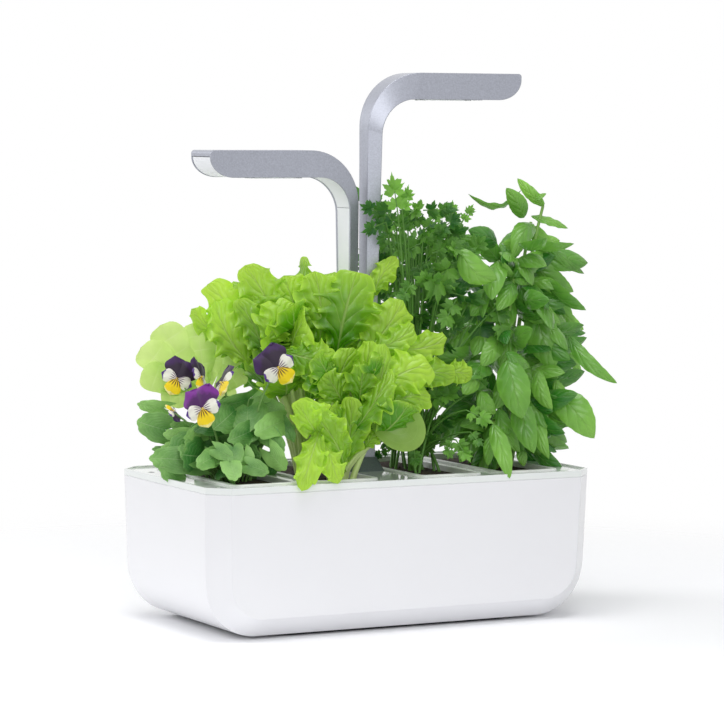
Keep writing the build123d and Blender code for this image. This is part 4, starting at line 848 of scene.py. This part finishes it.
def lettuce_fill(target, centre, spread, count, root, draw, reach, size=(40, 58)):
    """Adds leaves that the photograph hides or half hides, round a middle and leaning outwards,
    with their tips kept between the two ends of their reach. Their low tones are painted shade."""
    for _ in range(count):
        angle = draw(0, 2 * pi)
        share = np.sqrt(draw(0, 1))
        out = np.array([cos(angle), sin(angle)])
        step = [*(out * spread[:2] * share), draw(-0.5, 0.5) * spread[2]]
        base = (np.array(centre) + step) * MM
        lean = unit(np.array([*(out * (0.3 + share)), draw(0.5, 1.6)]))
        length = draw(*size) * MM
        tip = base + lean * length
        tip[0] = np.clip(tip[0], reach[0] * MM, reach[1] * MM)
        add_leaf(
            target, long_leaf, base, tip, length * draw(0.6, 0.95), lettuce_outline,
            turn=draw(-1.2, 1.2), bow=0.12, cup=0.3, curl=0.05, ruffle=0.09, waves=draw(4, 6),
            phase=draw(0, 6), cells=(34, 17), tone_and_shade=draw(0.1, 0.75), shade=0.5,
        )
        add_stem(target, rooted(base, root, 0.1), base, 2.4, 1.2, rise=0.3, cells=(8, 7))


lettuce = Surfaces()
lettuce_root = mm(-45, 0, 112)
draw = np.random.default_rng(21).uniform
lettuce_leaves(lettuce, LETTUCE_HEAD_SEEN, lettuce_root, draw, 0.1)
lettuce_fill(lettuce, (-56, 14, 198), (24, 28, 48), 34, lettuce_root, draw, (-86, 2))
head_materials = [lettuce_leaf, lettuce_rib]
lettuce.piece("lettuce_crown", head_materials, "lettuce_pot", ["lettuce_head"])

lettuce_front = Surfaces()
front_root = mm(-45, -50, 112)
lettuce_leaves(lettuce_front, LETTUCE_FRONT_SEEN, front_root, draw, 0.15)
lettuce_fill(
    lettuce_front, (-28, -54, 164), (28, 12, 42), 20, front_root, draw, (-70, 14), size=(26, 40)
)

# One leaf hangs over the front rim with a deeply frilled edge, in four lobes: pixels with a depth
# for foot and tip, width, turn, waves
FRILLED_SEEN = (
    (322, 440, -74, 298, 402, -84, 27, 0.2, 4.0),
    (320, 436, -76, 324, 402, -82, 17, -0.3, 4.0),
    (322, 424, -76, 302, 490, -92, 27, -0.1, 4.5),
    (322, 438, -78, 338, 484, -91, 24, 0.3, 4.0),
)
for base, tip, width, turn, waves in seen_rows(FRILLED_SEEN):
    add_leaf(
        lettuce_front, long_leaf, base, tip, width * PIXEL, lettuce_outline, turn=turn, bow=0.1,
        cup=0.2, ruffle=0.13, waves=waves, phase=draw(0, 6), cells=(48, 25), tone_and_shade=draw(0.75, 1.0),
        shade=0.4,
    )
frilled_root = rooted(seen_at(320, 446, -74), front_root, 0.4)
add_stem(lettuce_front, frilled_root, seen_at(322, 440, -76), 2.0, 1.6)


def spoon_rim(angle):
    """A plain round blade: its reach falls a little with the cosine of the angle."""
    return 0.8 + 0.2 * np.cos(angle)


spoon_leaf = leaf_material(
    "spoon_leaf", srgb(160, 196, 92), srgb(112, 156, 52), srgb(180, 208, 120),
    veins=4.0, rib_width=0.01, gloss=0.38,
)
SPOONS_SEEN = (
    (392, 418, -72, 420, 446, -82, 46, 0),
    (412, 420, -74, 406, 404, -76, 15, 0.2),
)
for base, tip, width, turn in seen_rows(SPOONS_SEEN):
    add_leaf(
        lettuce_front, fan_leaf, base, tip, width * PIXEL, spoon_rim, turn=turn, bow=0.08,
        cup=-0.15, ruffle=0.01, wedge=2.0, tone_and_shade=0.6, slot=2,
    )
front_materials = [*head_materials, spoon_leaf]
front_nodes = ["lettuce_front_leaves"]
lettuce_front.piece("lettuce_front", front_materials, "lettuce_pot", front_nodes)


# Parsley: thin, arching stalks that each end in a spray of dark, toothed leaflets. The stalks rise
# from one root in the middle of the pot.
parsley_leaf = leaf_material(
    "parsley_leaf", srgb(136, 198, 74), srgb(34, 98, 30), srgb(150, 204, 104),
    mottle=60.0, gloss=0.4, glow=0.3,
)
parsley_stalk = moulded("parsley_stalk", srgb(88, 138, 52), 0.45)


def toothed_rim(angle):
    """Three lobes, by a cosine of the angle, each cut into pointed teeth by a saw wave."""
    saw = np.abs(((angle * 3.0 + 0.5) % 1.0) - 0.5) * 2
    return 0.76 + 0.13 * np.cos(2 * pi * angle) + 0.14 * (0.5 - saw)


LEAFLETS = (
    # Place along the spray, heading, length as a share of the spray
    (0.6, 0, 0.44),
    (0.52, 0.9, 0.38),
    (0.52, -0.9, 0.38),
    (0.2, 1.1, 0.38),
    (0.2, -1.1, 0.38),
)


def parsley_spray(target, base, tip, draw, turn, tone_and_shade, root=None):
    """Five toothed leaflets on a short rib, and the stalk that carries them from the soil."""
    along, across, face = leaf_frame(base, tip, turn)
    length = np.linalg.norm(tip - base)
    for at, heading, share in LEAFLETS:
        foot = base + along * length * at
        way = unit(along * cos(heading) + across * sin(heading) + face * draw(-0.25, 0.25))
        size = share * length * draw(0.9, 1.15)
        add_leaf(
            target, fan_leaf, foot, foot + way * size, size * 0.94, toothed_rim,
            turn=turn + draw(-0.5, 0.5), bow=0.08, cup=0.2, ruffle=0.05, waves=3, wedge=1.5,
            cells=(4, 31), tone_and_shade=np.clip(tone_and_shade + draw(-0.12, 0.12), 0, 1),
        )
    add_stem(target, base, base + along * length * 0.55, 0.55, 0.4, rise=0.0, cells=(5, 6))
    if root is not None:
        start = rooted(base, root, draw(0.02, 0.12))
        add_stem(target, start, base, 1.1, 0.6, rise=draw(0.3, 0.5), cells=(14, 7))


def hidden(count, draw, low, size, neck, crowd, rises, lengths):
    """Height share, foot and tip of leaves that the photograph hides. Their feet fill a column of a
    size over its low middle, narrowed to a neck at both ends by a sine and crowded towards the soil
    by a power, and they lean outwards."""
    for _ in range(count):
        angle, share = draw(0, 2 * pi), np.sqrt(draw(0.05, 1))
        height = draw(0, 1) ** crowd
        share = share * (neck + (1 - neck) * sin(pi * height))
        reach = np.array(size) * [share * cos(angle), share * sin(angle), height]
        foot = mm(*(np.array(low) + reach))
        yield height, foot, foot + outwards(angle, draw(*rises)) * draw(*lengths) * MM


# Parsley sprays, as pixels with a depth: foot, tip, turn, tint, a tone that carries painted shade
PARSLEY_SEEN = (
    (398, 214, -44, 392, 173, -46, 0.2, 0.85),
    (402, 212, -44, 410, 184, -46, 0.3, 0.85),
    (384, 214, -22, 360, 204, -24, 0.2, 0.1),
    (386, 222, -22, 362, 232, -24, 0.4, 0.15),
    (396, 226, -24, 376, 200, -26, 0.1, 0.15),
    (392, 232, -20, 376, 244, -22, 0.6, 0.2),
    (408, 232, -26, 402, 206, -28, 0.3, 0.3),
    (424, 226, -28, 406, 212, -28, 0.3, 0.45),
    (424, 232, 30, 444, 206, 28, 0.2, 0.5),
    (452, 226, -26, 452, 200, -30, 0.4, 0.8),
    (462, 222, -26, 474, 204, -28, 0.2, 0.7),
    (440, 240, -6, 470, 226, -6, 0.1, 0.35),
    (420, 244, -14, 392, 256, -20, 0, 0.35),
    (412, 282, -34, 398, 304, -40, 0, 0.35),
    (426, 262, -30, 432, 278, -34, 0.2, 0.3),
    (446, 262, -10, 478, 244, -14, 0.3, 0.3),
    (440, 286, -36, 414, 276, -42, 0.4, 0.4),
    (452, 262, -28, 424, 300, -44, 0.5, 0.55),
    (470, 300, -20, 490, 352, -30, 0, 0.15),
    (496, 308, -40, 506, 344, -48, 0.4, 0.4),
    (486, 296, -30, 500, 322, -36, 0.3, 0.35),
    (456, 300, -34, 440, 330, -44, 0.2, 0.5),
    (466, 410, -62, 494, 424, -80, 0.1, 0.75),
    (456, 440, -62, 470, 462, -76, 0.1, 0.6),
    (452, 440, -60, 446, 460, -68, 0.3, 0.5),
    (470, 432, -70, 484, 448, -80, 0.3, 0.4),
    (414, 450, -50, 416, 468, -60, 0.2, 0.3),
    (452, 398, -40, 440, 372, -44, 0.2, 0.3),
    (486, 388, -46, 470, 372, -48, 0.2, 0.3),
)
PARSLEY_HIDDEN = 116
PARSLEY_UPPER = 30
PARSLEY_BARE_STALKS = 18
parsley = Surfaces()
parsley_root = mm(46, -6, 112)
dice = np.random.default_rng(33)
draw = dice.uniform
for base, tip, turn, tone_and_shade in seen_rows(PARSLEY_SEEN):
    parsley_spray(parsley, base, tip, draw, turn, tone_and_shade, parsley_root)
# Hidden sprays get low tones: painted shade inside the plant.
for height, base, tip in hidden(
    PARSLEY_HIDDEN, draw, (50, 10, 126), (20, 34, 170), 0.75, 1, (-0.5, 0.8), (24, 34)
):
    tip[0] = np.clip(tip[0], 24 * MM, (68 + 30 * height) * MM)
    root = parsley_root if height > 0.85 else None
    parsley_spray(parsley, base, tip, draw, draw(-1.2, 1.2), draw(0.0, 0.6), root)
# Filler sprays above, also in low tones of painted shade.
for _ in range(PARSLEY_UPPER):
    side = dice.choice([-1, 1])
    base = mm(draw(26, 78), 6 + side * draw(28, 38), draw(250, 318))
    way = unit(np.array([draw(-0.8, 0.8), side * 0.4, draw(-0.4, 0.7)]))
    tip = base + way * draw(22, 30) * MM
    parsley_spray(parsley, base, tip, draw, draw(-0.9, 0.9), draw(0.0, 0.55))
for _ in range(PARSLEY_BARE_STALKS):
    foot = mm(46 + draw(-15, 15), -4 + draw(-30, 34), soil_top / MM - ROOT_DEPTH)
    head = mm(50 + draw(-20, 22), 6 + draw(-34, 36), draw(160, 200))
    add_stem(parsley, foot, head, 1.2, 0.8, rise=0.2, tone_and_shade=draw(0, 1))
parsley_materials = [parsley_leaf, parsley_stalk]
parsley.piece(
    "parsley_foliage", parsley_materials, "parsley_pot", ["parsley_plant"]
)


# Basil: square, branching stems with pairs of broad, glossy leaves. Each leaf is domed, with its
# rim turned down and its tip drawn to a point.
basil_leaf = leaf_material(
    "basil_leaf", srgb(146, 204, 84), srgb(46, 118, 32), srgb(180, 218, 130),
    veins=4.0, slope=0.36, rib_width=0.045, mottle=45.0, gloss=0.27, glow=0.22, swell=0.8,
    under=0.5, rim=0.2,
)
basil_stem = moulded("basil_stem", srgb(122, 166, 72), 0.42)


def basil_outline(t, s):
    """Egg-shaped: a power of t times a power of 1 - t, widest below the middle and drawn out at
    the tip, with a faint ripple along the edge."""
    return 2.05 * t**0.62 * (1 - t) ** 0.78 * (1 + 0.02 * np.sin(2 * pi * 7 * t + s))


# Basil leaves, as pixels with a depth: foot, tip, width, turn, bow, sweep, cup
BASIL_SEEN = (
    (522, 189, 10, 471, 197, -6, 12, 0.9, 0.16, -0.12, 0.3),
    (544, 206, -4, 517, 179, 4, 17, 0.3, 0.08, 0, 0.2),
    (536, 200, -6, 546, 193, -8, 8, 0.6, 0.1, 0, 0.2),
    (524, 218, 0, 507, 189, -6, 24, 0, 0.1, 0.05, 0.3),
    (531, 216, 0, 569, 227, -10, 14, 0.7, 0.14, 0.08, 0.3),
    (534, 224, -6, 514, 256, -24, 28, 0.1, 0.2, 0.1, 0.5),
    (534, 226, 0, 565, 262, 10, 28, 0.2, 0.14, 0.12, 0.3),
    (542, 240, -10, 586, 273, -20, 15, 0.5, 0.16, 0.12, 0.4),
    (460, 250, -40, 498, 280, -50, 34, 0, 0.16, 0.16, 0.4),
    (515, 277, -34, 544, 251, -28, 25, -0.1, 0.14, 0, 0.4),
    (512, 277, -36, 502, 262, -40, 10, 0.2, 0.1, 0, 0.3),
    (514, 280, -36, 530, 284, -40, 9, 0.3, 0.1, 0, 0.3),
    (512, 281, -36, 498, 309, -50, 25, 0, 0.14, -0.05, 0.4),
    (521, 286, -34, 561, 325, -46, 33, 0, 0.18, 0.12, 0.4),
    (538, 252, -10, 567, 300, 0, 32, -0.2, 0.2, 0.1, 0.4),
    (533, 307, -30, 553, 369, -50, 44, 0, 0.16, 0, 0.35),
    (560, 292, 0, 578, 334, -4, 20, 0.2, 0.1, 0.1, 0.3),
    (569, 336, -40, 617, 382, -76, 20, 0.2, 0.12, 0.1, 0.3),
    (566, 346, 0, 582, 371, -4, 15, 0.3, 0.1, 0.1, 0.3),
    (506, 352, -60, 531, 367, -66, 19, 0.5, 0.16, 0.1, 0.4),
    (507, 360, -62, 522, 418, -80, 42, 0, 0.14, 0, 0.35),
    (538, 370, -50, 552, 410, -62, 22, -0.1, 0.14, 0.1, 0.4),
    (555, 380, -44, 573, 406, -52, 17, 0.1, 0.1, 0.1, 0.3),
    (553, 392, -50, 594, 438, -74, 42, 0, 0.12, -0.06, 0.2),
    (521, 400, -52, 534, 452, -76, 32, 0.1, 0.14, 0.06, 0.3),
    (540, 396, -40, 548, 458, -66, 24, -0.2, 0.12, 0.08, 0.3),
    (493, 424, -64, 510, 477, -90, 24, 0.2, 0.1, 0, 0.3),
    (490, 436, -50, 488, 465, -60, 15, 0, 0.1, 0, 0.3),
    (498, 408, -40, 520, 452, -56, 26, 0.1, 0.1, 0.1, 0.3),
    (520, 448, -50, 524, 466, -56, 14, 0.2, 0.1, 0, 0.3),
    (480, 366, -40, 464, 394, -48, 30, 0.5, 0.12, 0, 0.3),
    (480, 392, -46, 496, 414, -50, 22, 0.3, 0.12, 0.1, 0.3),
    (512, 296, -24, 499, 338, -34, 26, 0.1, 0.12, 0, 0.3),
    (516, 326, -20, 500, 366, -32, 30, -0.1, 0.14, 0, 0.3),
    (500, 336, -34, 482, 366, -44, 26, 0.2, 0.14, 0, 0.3),
    (512, 372, -30, 496, 408, -42, 28, 0.1, 0.12, 0, 0.3),
    (530, 236, 4, 502, 246, -6, 22, 0.4, 0.14, 0, 0.3),
    (522, 232, 22, 496, 266, 12, 30, 0.1, 0.12, 0, 0.3),
    (526, 262, 22, 514, 302, 12, 30, 0, 0.12, 0, 0.3),
    (500, 298, 4, 478, 328, -8, 30, 0.2, 0.12, 0, 0.3),
    (500, 262, 16, 474, 232, 8, 26, 0, 0.12, 0, 0.3),
    (534, 246, 20, 560, 240, 10, 22, 0.3, 0.12, 0, 0.3),
    (540, 262, 14, 574, 292, 6, 26, 0.1, 0.14, 0.1, 0.3),
    (548, 300, 10, 584, 330, 0, 26, 0, 0.14, 0.1, 0.3),
)
BASIL_STEMS_TO = (
    (543, 206, -4), (531, 222, -2), (514, 279, -35), (534, 306, -26), (560, 296, 0),
    (508, 356, -55), (540, 370, -40), (494, 420, -55), (564, 338, -20), (478, 380, -36),
)
BASIL_HIDDEN = 170
basil = Surfaces()
draw = np.random.default_rng(44).uniform
for base, tip, width, turn, bow, sweep, cup in seen_rows(BASIL_SEEN):
    add_leaf(
        basil, long_leaf, base, tip, width * PIXEL, basil_outline, turn=turn, bow=bow, sweep=sweep,
        cup=cup, curl=-0.06, ruffle=0.016, waves=4, phase=draw(0, 6), cells=(26, 15),
        tone_and_shade=draw(0.45, 0.95), shade=0.35,
    )
# Hidden leaves get low tones: painted shade inside the plant.
for _, base, tip in hidden(
    BASIL_HIDDEN, draw, (128, -4, 132), (38, 40, 164), 0.7, 1.1, (-1.1, 0.4), (28, 44)
):
    width = np.linalg.norm(tip - base) * draw(0.5, 0.66)
    add_leaf(
        basil, long_leaf, base, tip, width, basil_outline, turn=draw(-1.3, 1.3), bow=0.14, cup=0.4,
        curl=-0.05, ruffle=0.01, waves=4, cells=(16, 9), tone_and_shade=draw(-0.05, 0.6),
    )
basil_root = mm(113, -14, 112)
for place in BASIL_STEMS_TO:
    end = seen_at(*place)
    add_stem(basil, rooted(end, basil_root, 0.25), end, 2.2, 1.2, rise=0.35, cells=(18, 8))
basil.piece("basil_foliage", [basil_leaf, basil_stem], "basil_pot", ["basil_plant"])


# Studio: a white sweep that shows only the planter's soft shadow, an even white surround, and large
# lamps at the left rear, overhead and at the front left.
FLOOR_REACH = 1.1
floor_mesh = bpy.data.meshes.new("studio_floor")
corners = np.array([(-1, -1, 0), (1, -1, 0), (1, 1, 0), (-1, 1, 0)]) * FLOOR_REACH
floor_mesh.from_pydata(corners.tolist(), [], [(0, 1, 2, 3)])
floor = bpy.data.objects.new("studio_floor", floor_mesh)
bpy.context.scene.collection.objects.link(floor)
floor_white = bpy.data.materials.new("floor_white")
floor_white.use_nodes = True
tree = floor_white.node_tree
tree.nodes.clear()
place = shader(tree, "TexCoord").outputs["Object"]
distance = shader(tree, "VectorMath", {0: place}, operation="LENGTH")
bounds = {"Value": distance, "From Min": 0.3, "From Max": 0.75}
fade = shader(tree, "MapRange", bounds, interpolation_type="SMOOTHSTEP")
matte = shader(tree, "BsdfDiffuse", {"Color": (0.96, 0.965, 0.98, 1)})
swept = shader(tree, "MixShader", {"Fac": fade, 1: matte, 2: shader(tree, "BsdfTransparent")})
shader(tree, "OutputMaterial", {"Surface": swept})
floor_mesh.materials.append(floor_white)

world = bpy.data.worlds.new("studio")
bpy.context.scene.world = world
world.use_nodes = True
tree = world.node_tree
tree.nodes.clear()
rays = shader(tree, "LightPath").outputs
seen = maths(tree, "MAXIMUM", rays["Is Camera Ray"], rays["Is Glossy Ray"])
seen = maths(tree, "MAXIMUM", seen, rays["Is Transmission Ray"])
lighting = shader(tree, "Background", {"Color": (0.988, 0.99, 1.0, 1), "Strength": 0.475})
backdrop = shader(tree, "Background", {"Color": (1, 1, 1, 1), "Strength": 1.0})
chosen = shader(tree, "MixShader", {"Fac": seen, 1: lighting, 2: backdrop})
shader(tree, "OutputWorld", {"Surface": chosen})


def area_lamp(name, place, aim, side, power):
    """A square studio lamp at a place, turned to its aim."""
    data = bpy.data.lights.new(name, "AREA")
    data.size = side
    data.energy = power
    away = unit(np.array(place) - np.array(aim))
    right = unit(np.cross(UP, away))
    stand(bpy.data.objects.new(name, data), right, np.cross(away, right), away, place)


area_lamp("side_lamp", (-1.6, 1.1, 1.0), (0, 0, 0.2), 1.0, 15)
area_lamp("top_lamp", (-0.2, -0.3, 1.9), (0, 0, 0.1), 1.2, 18)
area_lamp("front_lamp", (-0.6, -1.8, 0.9), (0, 0, 0.2), 1.0, 10.5)

bpy.context.scene.view_settings.view_transform = "Standard"
